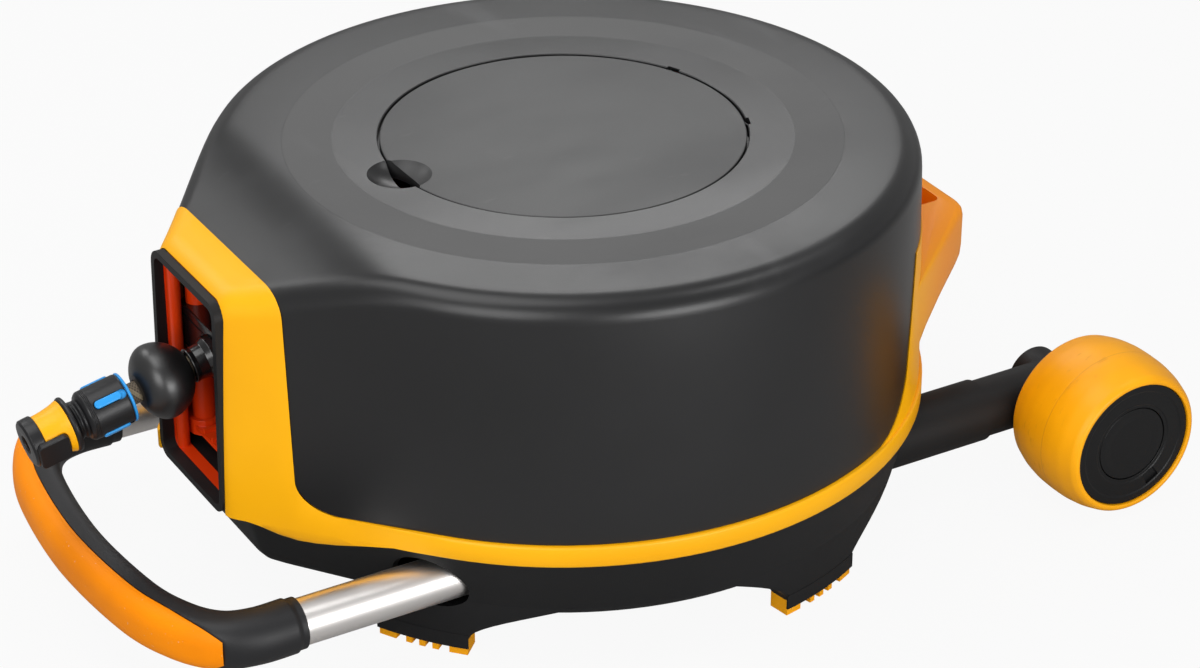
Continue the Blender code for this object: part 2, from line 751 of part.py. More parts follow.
def make_base():
    floor_top = BASE_FLOOR + BASE_WALL
    sections = [
        base_section(BASE_DRAFT + 0.020, 0.040, BASE_FLOOR),
        base_section(BASE_DRAFT, 0.008, BASE_EDGE),
        base_section(BASE_DRAFT * 0.4, 0.003, 0.068),
        base_section(0, 0, RIM_SEAT),
        base_section(BASE_FLANGE, BASE_FLANGE, RIM_SEAT),
        base_section(BASE_FLANGE, BASE_FLANGE, RIM_SEAT - BASE_WALL),
        base_section(BASE_WALL + 0.0005, BASE_WALL + 0.0005, RIM_SEAT - BASE_WALL - 0.002),
        base_section(BASE_DRAFT + BASE_WALL, 0.008 + BASE_WALL, BASE_EDGE),
        base_section(BASE_DRAFT + 0.021 + BASE_WALL, 0.041 + BASE_WALL, floor_top),
    ]
    tray = loft("base_tray", sections, BLACK)
    for place, (angles, slope_start, slope_end) in LEGS.items():
        join(tray, leg(f"leg_{place}", *angles, slope_start, slope_end))
    for side, name in ((-1, "near"), (1, "far")):
        where = (0, side * TUBE_Y, TUBE_Z)
        sleeve = round_cut(f"sleeve_{name}", SLEEVE_R, GUIDE_BACK + 0.012, ARM_START - GAP, where)
        bore = round_cut(
            f"sleeve_bore_{name}", SPIGOT_R + SLIDE, GUIDE_BACK - 0.002, ARM_START + 0.01, where
        )
        mouth = round_cut(
            f"mouth_{name}", TUBE_R + 0.0045, -BODY_R - 0.05, -GUIDE_FRONT + 0.040, where, 24
        )
        for x in (-SADDLE_X, SADDLE_X):
            saddle = box(
                f"saddle_{name}_{x}", (x - 0.004, side * (TUBE_Y - 0.010), floor_top - 0.001),
                (x + 0.004, side * (TUBE_Y + 0.010), TUBE_Z - GUIDE_R - GAP), helper=True,
            )
            join(tray, saddle)
        room = round_cut(f"guide_room_{name}", GUIDE_R + GAP, -GUIDE_FRONT - 0.05, GUIDE_BACK + GAP, where)
        join(tray, sleeve)
        cut(tray, bore, mouth, room)
    inlet_hole = round_cut("inlet_hole", INLET_R + SLIDE, BODY_R - 0.07, BODY_R + 0.02, (0, 0, INLET_Z))
    post = bar(
        "axle_post", POST_BORE + 0.0045, floor_top - 0.001, DECK_TOP - DECK_THICK - GAP,
        steps=20, bore=POST_BORE, helper=True,
    )
    cut(post, round_cut("inlet_slot", INLET_R + RUN, 0.0, POST_BORE * 2, (0, 0, INLET_Z)))
    join(tray, post)
    cut(tray, inlet_hole)


make_base()


def foot_pad(name, start, end):
    """An amber pad under a leg: a sole with a block at each end and three ribs between them."""
    inner, outer = FOOT_R - FOOT_WIDTH + 0.001, FOOT_R - 0.001
    sole = 0.0065

    def sector(label, first, last, low, high, helper=True):
        count = 3 if last - first > 5 else 1
        first, last = math.radians(first), math.radians(last)
        angles = [first + (last - first) * i / count for i in range(count + 1)]
        outline = [(outer * math.cos(a), outer * math.sin(a)) for a in angles]
        outline += [(inner * math.cos(a), inner * math.sin(a)) for a in reversed(angles)]
        return plate(label, outline, low, high, RUBBER, helper=helper)

    pad = sector(name, start + 0.2, end - 0.2, sole, FOOT_TOP - GAP, helper=False)
    blocks = [(start + 0.2, start + 3.4), (end - 3.4, end - 0.2)]
    middle = (start + end) / 2
    blocks += [(middle + offset - 0.55, middle + offset + 0.55) for offset in (-2.4, 0.0, 2.4)]
    for i, (first, last) in enumerate(blocks):
        join(pad, sector(f"{name}_rib_{i}", first, last, 0.0, sole + 0.001))
    return pad


for place, (angles, _, _) in LEGS.items():
    foot_pad(f"foot_pad_{place}", *angles)


# Deck: the inner floor that carries the axle and the gears, on the base wall and its post
def make_deck():
    edge = BASE_FLANGE - 0.0035
    low = DECK_TOP - DECK_THICK
    sections = [base_section(edge, -0.0005, height) for height in (low, DECK_TOP)]
    deck = loft("drum_deck", sections, BLACK)
    cut(deck, bar("deck_bore", AXLE_TUBE_R + SLIDE, low - 0.01, DECK_TOP + 0.01, steps=16, helper=True))


make_deck()


# Pull handle: two aluminium tubes in long guide sleeves, joined by a curved grip
def make_tubes():
    for side, name in ((-1, "near"), (1, "far")):
        where = (0, side * TUBE_Y, TUBE_Z)
        bar(
            f"tube_guide_{name}", GUIDE_R, -GUIDE_FRONT, GUIDE_BACK, BLACK, where, "X", 16,
            bore=TUBE_R + SLIDE,
        )
        bar(
            f"handle_tube_{name}", TUBE_R, -TUBE_FRONT, TUBE_TAIL, ALUMINIUM, where, "X", 22,
            bore=TUBE_R - TUBE_WALL,
        )


def grip_path(count):
    """The middle line of the grip, from one socket round to the other, in the (x, y) plane."""
    bow = [(GRIP_SOCKET_END, TUBE_Y)]
    bow += [
        (GRIP_FRONT - back, TUBE_Y - inward)
        for back, inward in ((0.058, 0), (0.036, 0.008), (0.019, 0.031), (0.0065, 0.071))
    ]
    near_side = [(-x, -y) for x, y in bow]
    far_side = [(-x, y) for x, y in reversed(bow)]
    return smooth_line(near_side + [(-GRIP_FRONT, 0.0)] + far_side, count)


def smooth_line(points, count):
    """Evenly numbered points on a Catmull-Rom curve through the given ones."""
    points = [Vector((*p, 0.0)[:3]) for p in points]
    ends = [points[0] * 2 - points[1]] + points + [points[-1] * 2 - points[-2]]
    spans = len(points) - 1
    out = []
    for i in range(count):
        place = i * spans / (count - 1)
        k = min(int(place), spans - 1)
        t = place - k
        a, b, c, d = ends[k : k + 4]
        bend = (2 * a - 5 * b + 4 * c - d) * t**2 + (3 * b - a - 3 * c + d) * t**3
        out.append(0.5 * (2 * b + (c - a) * t + bend))
    return out


def grip_section(point, ahead, profile):
    """A section square to the grip's line: profile points are (outward, up)."""
    outward = Vector((ahead.y, -ahead.x, 0.0)).normalized()
    return [(point + outward * across + Vector((0, 0, TUBE_Z + up)))[:] for across, up in profile]


def oval(half_w, half_h, steps, squareness):
    points = []
    for i in range(steps):
        a = 2 * math.pi * i / steps
        c, s = math.cos(a), math.sin(a)
        across = half_w * math.copysign(abs(c) ** (2 / squareness), c)
        points.append((across, half_h * math.copysign(abs(s) ** (2 / squareness), s)))
    return points


GRIP_COUNT = 23
PAD_FIRST = 4  # the amber pad runs between this section and its like at the other end
PAD_SEAM = 0.15  # seam between core and pad, as a share of the half width ahead of the middle


def along(points, i):
    """The line's direction at a point."""
    return points[min(i + 1, len(points) - 1)] - points[max(i - 1, 0)]


def core_section(half_w, half_h, squareness, seam):
    """The core's oval, cut flat at the seam."""
    return [(min(across, seam), up) for across, up in oval(half_w, half_h, 12, squareness)]


def pad_section(half_w, half_h, squareness, seam):
    """The pad: the oval's outer side beyond the seam, closed by a flat back."""
    back = seam + GAP
    reach = math.acos((back / half_w) ** (squareness / 2))
    section = []
    for i in range(9):
        a = reach * (i / 4 - 1)
        up = half_h * math.copysign(abs(math.sin(a)) ** (2 / squareness), a)
        section.append((half_w * math.cos(a) ** (2 / squareness), up))
    top = section[-1][1]
    return section + [(back, top * share) for share in (0.5, 0.0, -0.5)]


def grip_loft(name, material, first, section_of):
    """A skin along the grip's line through sections whose seam moves from the edge to the middle."""
    line = grip_path(GRIP_COUNT)
    sections = []
    for i in range(first, GRIP_COUNT - first):
        from_end = min(i, GRIP_COUNT - 1 - i)
        blend = min(1.0, max(0.0, (from_end - 2) / 4))
        half_w = GRIP_SOCKET_R * (1 - blend) + GRIP_HALF_W * blend
        half_h = GRIP_SOCKET_R * (1 - blend) + GRIP_HALF_H * blend
        seam = half_w
        if from_end >= PAD_FIRST:
            depth = min(1.0, (from_end - PAD_FIRST) / 4)
            seam = (half_w - 0.0020) * (1 - depth) + PAD_SEAM * half_w * depth
        profile = section_of(half_w, half_h, 2.0 + 0.7 * blend, seam)
        sections.append(grip_section(line[i], along(line, i), profile))
    return loft(name, sections, material)


def make_grip():
    grip = grip_loft("handle_grip", BLACK, 0, core_section)
    for side in (-1, 1):
        where = (0, side * TUBE_Y, TUBE_Z)
        bore_end = -GRIP_SOCKET_END + 0.04
        cut(grip, round_cut(f"grip_bore_{side}", TUBE_R + GAP, -TUBE_FRONT - GAP, bore_end, where, 22))
    grip_loft("grip_pad", RUBBER, PAD_FIRST, pad_section)


make_grip()
make_tubes()


# Wheel arms: black tees on the sleeves, each with a steel axle, a hub, a tyre and a cap
TYRE_HALF = 0.0375
HUB_R_WHEEL = 0.0465
WHEEL_MID = WHEEL_OUT - TYRE_HALF
TEE_END = TUBE_Y - 0.024  # inner end of the cross tube from the middle plane
TEE_OUTER = WHEEL_MID - 0.014
AXLE_OUT = WHEEL_OUT - 0.012


def make_wheel(side, name):
    where = (WHEEL_X, 0, TUBE_Z)

    def across(label, profile, material=None, steps=16, ring=True, helper=False):
        """A profile of (radius, distance from the middle plane), turned about the wheel's axle."""
        points = [(radius, side * distance) for radius, distance in profile]
        if side < 0:
            points.reverse()
        return turned(label, points, material, where, "Y", steps, ring, helper)

    arm_at = (0, side * TUBE_Y, TUBE_Z)
    arm = bar(f"wheel_arm_{name}", ARM_R, ARM_START, WHEEL_X, BLACK, arm_at, "X", 16)
    spigot = round_cut(f"arm_spigot_{name}", SPIGOT_R, GUIDE_BACK + 0.014, ARM_START + 0.002, arm_at)
    tee = across(
        f"tee_{name}",
        [(0, TEE_OUTER), (ARM_R - 0.002, TEE_OUTER), (ARM_R, TEE_OUTER - 0.002),
         (ARM_R, TEE_END + 0.003), (ARM_R - 0.003, TEE_END), (0, TEE_END)],
        ring=False, helper=True,
    )
    bore_out, bore_in = TEE_OUTER + 0.002, TEE_END + 0.020
    bore = across(
        f"axle_bore_{name}",
        [(0, bore_out), (AXLE_R + GAP, bore_out), (AXLE_R + GAP, bore_in), (0, bore_in)],
        ring=False, helper=True,
    )
    join(arm, spigot, tee)
    cut(arm, bore)
    across(
        f"wheel_axle_{name}",
        [(0, AXLE_OUT), (AXLE_R + 0.004, AXLE_OUT), (AXLE_R + 0.004, AXLE_OUT - 0.002),
         (AXLE_R, AXLE_OUT - 0.002), (AXLE_R, TEE_END + 0.0205), (0, TEE_END + 0.0205)],
        STEEL, 14, ring=False,
    )
    bush = AXLE_R + SLIDE
    barrel = HUB_R_WHEEL - 0.004
    across(
        f"wheel_hub_{name}",
        [(HUB_R_WHEEL, WHEEL_OUT - 0.0025), (HUB_R_WHEEL, WHEEL_OUT - 0.0085), (barrel, WHEEL_OUT - 0.0085),
         (barrel, WHEEL_MID - TYRE_HALF + 0.006), (barrel - 0.004, WHEEL_MID - TYRE_HALF + 0.006),
         (barrel - 0.004, WHEEL_MID + 0.010), (bush + 0.005, WHEEL_MID + 0.010),
         (bush + 0.005, TEE_OUTER + RUN), (bush, TEE_OUTER + RUN), (bush, WHEEL_MID + 0.016),
         (0.0280, WHEEL_MID + 0.016), (0.0280, WHEEL_OUT - 0.0025)],
        BLACK, 20,
    )
    rim = HUB_R_WHEEL - 0.004 + GAP
    rim_end = WHEEL_OUT - 0.0085 - GAP
    crown = (
        (0.0478, 1.0), (0.0515, 0.93), (0.0560, 0.60), (WHEEL_R, 0.10),
        (0.0560, -0.60), (0.0515, -0.93), (0.0478, -1.0),
    )
    across(
        f"tyre_{name}",
        [(radius, WHEEL_MID + TYRE_HALF * share) for radius, share in crown]
        + [(rim, WHEEL_MID - TYRE_HALF), (rim, rim_end), (0.0469, rim_end)],
        RUBBER, 24,
    )
    across(
        f"hub_cap_{name}",
        [(0, WHEEL_OUT - 0.004), (0.0262, WHEEL_OUT - 0.004), (0.0276, WHEEL_OUT - 0.0055),
         (0.0276, WHEEL_OUT - 0.0095), (0, WHEEL_OUT - 0.0095)],
        BLACK, 20, ring=False,
    )


make_wheel(-1, "near")
make_wheel(1, "far")


# Drum: a core with a web, two flanges and a hub that turns on the hollow water axle
WEB_LOW = WEB_TOP - CORE_WALL
HUB_CEILING = WEB_TOP - 0.016
AXLE_TOP = HUB_CEILING - GAP
SCREW_R = 0.0025
SCREW_DEEP = 0.011  # reach of the crank's screw into the hub
HUB_BORE = AXLE_TUBE_R + 0.0030  # room for the two bushes
GEAR_TOP = GEAR_BOTTOM + GEAR_THICK
FLANGE_LOW = DRUM_BOTTOM - FLANGE
HUB_LOW = GEAR_TOP + GAP


def flange(name, low, high):
    """A drum flange: an orange-red plate with a rolled rim and round holes."""
    disc = turned(
        name,
        [(FLANGE_R, high), (FLANGE_R, low), (CORE_R + GAP, low), (CORE_R + GAP, high)],
        RED, steps=28, ring=True,
    )
    for i in range(5):
        a = math.radians(72 * i + 30)
        hole = bar(
            f"{name}_hole_{i}", 0.016, low - 0.01, high + 0.01, steps=8,
            at=(0.168 * math.cos(a), 0.168 * math.sin(a), 0), helper=True,
        )
        cut(disc, hole)
    return disc


def make_drum():
    core = turned(
        "drum_core",
        [
            (0, WEB_TOP), (CORE_R - CORE_WALL, WEB_TOP), (CORE_R - CORE_WALL, DRUM_TOP + FLANGE),
            (CORE_R, DRUM_TOP + FLANGE), (CORE_R, FLANGE_LOW), (CORE_R - CORE_WALL, FLANGE_LOW),
            (CORE_R - CORE_WALL, WEB_LOW), (HUB_R, WEB_LOW), (HUB_R, HUB_LOW),
            (HUB_BORE, HUB_LOW), (HUB_BORE, HUB_CEILING), (0, HUB_CEILING),
        ],
        RED, steps=28,
    )
    thread = bar("screw_hole", SCREW_R + GAP, WEB_TOP - SCREW_DEEP, WEB_TOP + 0.01, steps=12, helper=True)
    port = round_cut("water_port", 0.0075, 0.0, CORE_R + 0.01, (0, 0, ELBOW_Z), 12)
    cut(core, port, thread)
    flange("drum_flange_bottom", FLANGE_LOW, DRUM_BOTTOM)
    flange("drum_flange_top", DRUM_TOP, DRUM_TOP + FLANGE)
    for name, low, high in (
        ("hub_bush_lower", HUB_LOW + 0.001, HUB_LOW + 0.016),
        ("hub_bush_upper", HUB_CEILING - 0.016, HUB_CEILING - GAP),
    ):
        bar(name, HUB_BORE - GAP, low, high, BRASS, bore=AXLE_TUBE_R + SLIDE, steps=16)
    bar(
        "water_seal", HUB_BORE - GAP, ELBOW_Z - 0.016, ELBOW_Z - 0.012, SEAL,
        bore=AXLE_TUBE_R + SLIDE, steps=16,
    )
    turned(
        "drum_water_pipe",
        [(0.0072, CORE_R - CORE_WALL - 0.001), (0.0072, HUB_BORE + 0.001),
         (0.0050, HUB_BORE + 0.001), (0.0050, CORE_R - CORE_WALL - 0.001)],
        BRASS, (0, 0, ELBOW_Z), "X", 12, ring=True,
    )


make_drum()


def make_axle():
    """The hollow water axle that stands on the base floor, with side ports level with the drum's pipe."""
    floor_top = BASE_FLOOR + BASE_WALL
    foot_top = floor_top + 0.034
    axle = turned(
        "water_axle",
        [
            (0, AXLE_TOP), (AXLE_TUBE_R - 0.001, AXLE_TOP), (AXLE_TUBE_R, AXLE_TOP - 0.001),
            (AXLE_TUBE_R, foot_top), (AXLE_FOOT_R, foot_top), (AXLE_FOOT_R, floor_top + GAP),
            (AXLE_BORE, floor_top + GAP), (AXLE_BORE, ELBOW_Z + 0.008), (0, ELBOW_Z + 0.008),
        ],
        STEEL, steps=18,
    )
    port = round_cut("axle_port", 0.0055, -0.03, 0.03, (0, 0, ELBOW_Z), 8)
    cut(axle, port, round_cut("axle_inlet", INLET_R - 0.0015, 0, 0.03, (0, 0, INLET_Z)))


make_axle()


# Water inlet: a pipe along the base floor to a threaded tail at the back of the base
def make_inlet():
    wall_x = BODY_R - BASE_INSET - BASE_DRAFT * 0.6
    pipe_start = AXLE_FOOT_R + 0.0006
    pipe_end = wall_x - 0.012
    bar("inlet_pipe", INLET_R - 0.0025, pipe_start, pipe_end, BLACK, (0, 0, INLET_Z), "X", 12, bore=0.0045)
    turned(
        "inlet_connector",
        [
            (0.0085, wall_x + 0.016), (0.0100, wall_x + 0.013), (0.0085, wall_x + 0.007),
            (0.0125, wall_x + 0.007), (0.0125, wall_x + 0.0035), (INLET_R - GAP, wall_x + 0.0035),
            (INLET_R - GAP, wall_x - 0.0115), (0.0045, wall_x - 0.0115), (0.0045, wall_x + 0.016),
        ],
        BLACK, (0, 0, INLET_Z), "X", 12, ring=True,
    )


make_inlet()


# Hose on the drum: a plain core of turns under one outer layer that is wound
HOSE_LAYER_R = HOSE_OUTER - HOSE_R
WIND_LOW = DRUM_BOTTOM + HOSE_R + 0.0006
WIND_HIGH = DRUM_TOP - HOSE_R - 0.0006
TURN_POINTS = 20
HALF_TURNS = int(2 * (WIND_HIGH - WIND_LOW) / (2 * HOSE_R + TURN_GAP))
HOSE_TURNS = HALF_TURNS / 2
HOSE_CORE_R = HOSE_LAYER_R * math.cos(math.pi / TURN_POINTS) - HOSE_R - 0.0006


def make_hose_pack():
    turned(
        "hose_inner_turns",
        [
            (HOSE_CORE_R, DRUM_TOP - GAP), (HOSE_CORE_R, DRUM_BOTTOM + GAP),
            (CORE_R + GAP, DRUM_BOTTOM + GAP), (CORE_R + GAP, DRUM_TOP - GAP),
        ],
        HOSE, steps=28, ring=True,
    )
    rise = (WIND_HIGH - WIND_LOW) / HOSE_TURNS
    print("least gap between turns, mm:", round(1000 * (rise - 2 * HOSE_R), 2))
    curve = bpy.data.curves.new("hose_outer_turns", "CURVE")
    curve.dimensions = "3D"
    curve.bevel_depth = HOSE_R
    curve.bevel_resolution = 1
    curve.use_fill_caps = True
    spline = curve.splines.new("POLY")
    count = round(HOSE_TURNS * TURN_POINTS)
    spline.points.add(count)
    for i in range(count + 1):
        turn = 2 * math.pi * i / TURN_POINTS
        x, y = HOSE_LAYER_R * math.cos(turn), HOSE_LAYER_R * math.sin(turn)
        spline.points[i].co = (x, y, WIND_LOW + rise * i / TURN_POINTS, 1)
    curve.materials.append(HOSE)
    obj = bpy.data.objects.new("hose_outer_turns", curve)
    reel.objects.link(obj)
    obj.parent = origin


make_hose_pack()


# Crank: an arm on top of the drum's hub with an upright knob, all inside the well
CRANK_LOW = WEB_TOP + GAP
CRANK_ARM_LOW = WELL_FLOOR + 0.004
CRANK_ARM_TOP = CRANK_ARM_LOW + 0.0075
KNOB_R = 0.0125
KNOB_AT = WELL_R - 0.028  # from the drum axis
KNOB_TOP = LID_BOTTOM - 0.009
CRANK_ANGLE = math.radians(128)
KNOB_X, KNOB_Y = KNOB_AT * math.cos(CRANK_ANGLE), KNOB_AT * math.sin(CRANK_ANGLE)
PIN_R = 0.003


def stadium(x0, y0, r0, x1, y1, r1, steps=6):
    """Outline of two round ends and the straight sides between them."""
    heading = math.atan2(y1 - y0, x1 - x0)
    outline = []
    ends = (x0, y0, r0, heading + math.pi / 2), (x1, y1, r1, heading - math.pi / 2)
    for cx, cy, radius, facing in ends:
        for i in range(steps + 1):
            a = facing + math.pi * i / steps
            outline.append((cx + radius * math.cos(a), cy + radius * math.sin(a)))
    return outline


def make_crank():
    outline = stadium(0, 0, 0.0195, KNOB_X, KNOB_Y, 0.0125)
    arm = plate("crank_arm", outline, CRANK_ARM_LOW, CRANK_ARM_TOP, BLACK)
    hub = turned(
        "crank_hub",
        [(0, CRANK_ARM_TOP + 0.003), (0.0160, CRANK_ARM_TOP + 0.003), (0.0175, CRANK_ARM_TOP + 0.0015),
         (0.0175, CRANK_LOW), (0, CRANK_LOW)],
        steps=16, helper=True,
    )
    screw_top = CRANK_ARM_TOP + 0.0035
    screw_end = WEB_TOP - SCREW_DEEP + 0.001
    pin_end = CRANK_ARM_LOW + 0.002 + GAP
    hole = bar("crank_hole", SCREW_R + GAP, CRANK_LOW - 0.01, 0.3, steps=8, helper=True)
    seat = bar("crank_seat", 0.0060, CRANK_ARM_TOP, 0.3, steps=12, helper=True)
    pin_hole = bar(
        "pin_hole", PIN_R + GAP, CRANK_ARM_LOW + 0.002, 0.3, at=(KNOB_X, KNOB_Y, 0), steps=8, helper=True
    )
    join(arm, hub)
    cut(arm, hole, seat, pin_hole)
    turned(
        "crank_screw",
        [(0, screw_top), (0.0048, screw_top), (0.0055, screw_top - 0.0007),
         (0.0055, CRANK_ARM_TOP + GAP), (SCREW_R, CRANK_ARM_TOP + GAP), (SCREW_R, screw_end), (0, screw_end)],
        STEEL, steps=12,
    )
    turned(
        "crank_pin",
        [(0, KNOB_TOP + 0.0022), (0.0050, KNOB_TOP + 0.0018), (0.0055, KNOB_TOP + GAP),
         (PIN_R, KNOB_TOP + GAP), (PIN_R, pin_end), (0, pin_end)],
        STEEL, (KNOB_X, KNOB_Y, 0), steps=12,
    )
    low = CRANK_ARM_TOP + SLIDE
    turned(
        "crank_knob",
        [(KNOB_R - 0.002, KNOB_TOP), (KNOB_R, KNOB_TOP - 0.002), (KNOB_R, KNOB_TOP - 0.012),
         (KNOB_R - 0.002, low + 0.010), (KNOB_R - 0.001, low + 0.001), (KNOB_R - 0.002, low),
         (PIN_R + SLIDE, low), (PIN_R + SLIDE, KNOB_TOP)],
        AMBER, (KNOB_X, KNOB_Y, 0), steps=18, ring=True,
    )


make_crank()


# Gears under the drum, which turn the cross-cut spindle of the hose guide
IDLER_PIN_R = 0.005
TOOTH_UP = 0.80  # tooth tip above the pitch circle, in modules
TOOTH_DOWN = 1.15
ROOT_SHARE = 0.29  # half width of a tooth at its root and at its tip, in pitches
TIP_SHARE = 0.11


def gear(name, teeth, at, phase, bore, material):
    """A spur gear with straight-sided teeth. phase is the direction of one tooth's middle."""
    pitch = 2 * math.pi / teeth
    root = MODULE * (teeth / 2 - TOOTH_DOWN)
    tip = MODULE * (teeth / 2 + TOOTH_UP)
    outline = []
    for i in range(teeth):
        middle = phase + i * pitch
        tooth = (root, -ROOT_SHARE), (tip, -TIP_SHARE), (tip, TIP_SHARE), (root, ROOT_SHARE)
        for radius, share in tooth:
            a = middle + share * pitch
            outline.append((radius * math.cos(a), radius * math.sin(a)))
    wheel = plate(name, outline, GEAR_BOTTOM, GEAR_TOP, material, (*at, 0))
    cut(wheel, bar(f"{name}_bore", bore, 0, 0.3, at=(*at, 0), steps=16, helper=True))


GUIDE_REACH = math.hypot(GUIDE_X, GUIDE_Y)
IDLER_TEETH = math.ceil(GUIDE_REACH / MODULE - (DRUM_TEETH + SPINDLE_TEETH) / 2)  # enough to reach
DRUM_PITCH_R = MODULE * DRUM_TEETH / 2
IDLER_PITCH_R = MODULE * IDLER_TEETH / 2
SPINDLE_PITCH_R = MODULE * SPINDLE_TEETH / 2


def meshed_phase(phase, radius, next_radius, heading):
    """The phase that puts a gap of the next gear where this gear's tooth is."""
    shift = (phase - heading) * radius + math.pi * MODULE / 2
    return heading + math.pi - shift / next_radius


def make_gears():
    to_spindle = math.atan2(-GUIDE_Y, -GUIDE_X)
    first = DRUM_PITCH_R + IDLER_PITCH_R
    second = IDLER_PITCH_R + SPINDLE_PITCH_R
    bend = math.acos((first**2 + GUIDE_REACH**2 - second**2) / (2 * first * GUIDE_REACH))
    heading = to_spindle + bend
    idler = (first * math.cos(heading), first * math.sin(heading))
    onward = math.atan2(-GUIDE_Y - idler[1], -GUIDE_X - idler[0])
    idler_phase = meshed_phase(0.0, DRUM_PITCH_R, IDLER_PITCH_R, heading)
    spindle_phase = meshed_phase(idler_phase, IDLER_PITCH_R, SPINDLE_PITCH_R, onward)
    print("idler at, mm:", [round(1000 * v, 2) for v in idler])
    gear("drum_gear", DRUM_TEETH, (0, 0), 0.0, AXLE_TUBE_R + RUN, BLACK)
    gear("idler_gear", IDLER_TEETH, idler, idler_phase, IDLER_PIN_R + SLIDE, BLACK)
    gear("spindle_gear", SPINDLE_TEETH, (-GUIDE_X, -GUIDE_Y), spindle_phase, SPINDLE_R + GAP, BLACK)
    turned(
        "idler_pin",
        [(0, GEAR_TOP + 0.0022), (0.0075, GEAR_TOP + 0.0022), (0.0085, GEAR_TOP + SLIDE),
         (IDLER_PIN_R, GEAR_TOP + SLIDE), (IDLER_PIN_R, GEAR_BOTTOM - SLIDE),
         (0.0085, GEAR_BOTTOM - SLIDE), (0.0085, DECK_TOP + GAP), (0, DECK_TOP + GAP)],
        STEEL, (*idler, 0), steps=14,
    )


make_gears()


# Hose guide: a carriage on a round column and the cross-cut spindle, between a base plate and a bridge
PLATE_LOW = GEAR_TOP + RUN
PLATE_TOP = PLATE_LOW + 0.0035
BRIDGE_LOW = BODY_TOP - 0.0395
BRIDGE_TOP = BRIDGE_LOW + 0.0037
SPINDLE_TOP_R = SPINDLE_R - 0.002  # of its end in the bridge
GUIDE_POSTS = ((0.006, 0.018), (0.020, 0.078), (0.0175, -0.078))  # (behind the spindle, across)
GUIDE_RIBS = (-0.026, -0.013, 0.013, 0.026)


def upright(y, radius, low, high, name, back=0.0, steps=16):
    """A round upright tool level with the spindle, or behind it."""
    return bar(name, radius, low, high, at=(-GUIDE_X + back, y, 0), steps=steps, helper=True)


def make_guide():
    inner = FLANGE_R + 0.0045
    half = math.radians(22)
    curve = [math.pi - half * (1 - 2 * i / 8) for i in range(9)]
    front, side = -GUIDE_X - 0.0095, -GUIDE_X + 0.020
    outline = [(inner * math.cos(a), inner * math.sin(a)) for a in curve]
    outline += [(side, -0.089), (front, -0.058), (front, 0.058), (side, 0.089)]
    base = plate("guide_base", outline, PLATE_LOW, PLATE_TOP, RED)
    collar_top = PLATE_TOP + 0.004
    socket = upright(GUIDE_Y, COLUMN_R + 0.0035, PLATE_LOW - 0.004, collar_top, "column_socket")
    bearing = upright(-GUIDE_Y, SPINDLE_R + 0.0035, PLATE_LOW + 0.001, collar_top, "spindle_bearing")
    join(base, socket, bearing)
    for y in GUIDE_RIBS:
        low = (front + 0.0005, y - 0.0012, PLATE_TOP - 0.001)
        high = (side + 0.012, y + 0.0012, PLATE_TOP + 0.003)
        join(base, box(f"guide_rib_{y}", low, high, helper=True))
    for back, y in GUIDE_POSTS:
        join(base, upright(y, 0.003, DECK_TOP + GAP, PLATE_LOW + 0.001, f"guide_post_{y}", back, 10))
    cut(
        base,
        upright(GUIDE_Y, COLUMN_R + GAP, PLATE_LOW - 0.001, 0.3, "column_hole"),
        upright(-GUIDE_Y, SPINDLE_R + SLIDE, 0, 0.3, "spindle_hole"),
        upright(0.0, 0.0065, 0, 0.3, "view_hole", 0.012),
    )
    column_low, top = PLATE_LOW - 0.001 + GAP, BRIDGE_TOP - 0.001
    bar("guide_column", COLUMN_R, column_low, top, RED, (-GUIDE_X, GUIDE_Y, 0), steps=18)
    turned(
        "cross_spindle",
        [(0, top), (SPINDLE_TOP_R, top), (SPINDLE_TOP_R, BRIDGE_LOW - GAP), (SPINDLE_R, BRIDGE_LOW - GAP),
         (SPINDLE_R, DECK_TOP + GAP), (0, DECK_TOP + GAP)],
        STEEL, (-GUIDE_X, -GUIDE_Y, 0), steps=16,
    )
    outline = stadium(-GUIDE_X, -GUIDE_Y, 0.0105, -GUIDE_X, GUIDE_Y, 0.0105)
    cut(
        plate("guide_bridge", outline, BRIDGE_LOW, BRIDGE_TOP, BLACK),
        upright(GUIDE_Y, COLUMN_R + GAP, 0.2, BODY_TOP, "bridge_column_hole"),
        upright(-GUIDE_Y, SPINDLE_TOP_R + SLIDE, 0.2, BODY_TOP, "bridge_spindle_hole"),
    )
    carriage = plate(
        "hose_carriage", stadium(-GUIDE_X, -GUIDE_Y, 0.0115, -GUIDE_X, GUIDE_Y, 0.0115),
        CARRIAGE_Z - CARRIAGE_HALF, CARRIAGE_Z + CARRIAGE_HALF, GLOSS,
    )
    cut(
        carriage,
        upright(GUIDE_Y, COLUMN_R + SLIDE, 0.1, 0.3, "carriage_column_hole"),
        upright(-GUIDE_Y, SPINDLE_R + SLIDE, 0.1, 0.3, "carriage_spindle_hole"),
        on_hose(bar("hose_bore", HOSE_R + GAP, -0.09, 0.0, steps=16, helper=True)),
    )


BALL_AT = Vector((-BALL_X, 0, BALL_Z))
HOSE_TURN = -math.pi / 2 - HOSE_DROOP  # turns +Z onto the line of the hose's end


def on_hose(obj):
    """Puts a piece that was made along Z from the ball's middle onto the drooping hose end."""
    obj.location = BALL_AT + Matrix.Rotation(HOSE_TURN, 3, "Y") @ obj.location
    obj.rotation_euler = (0, HOSE_TURN, 0)
    return obj


make_guide()


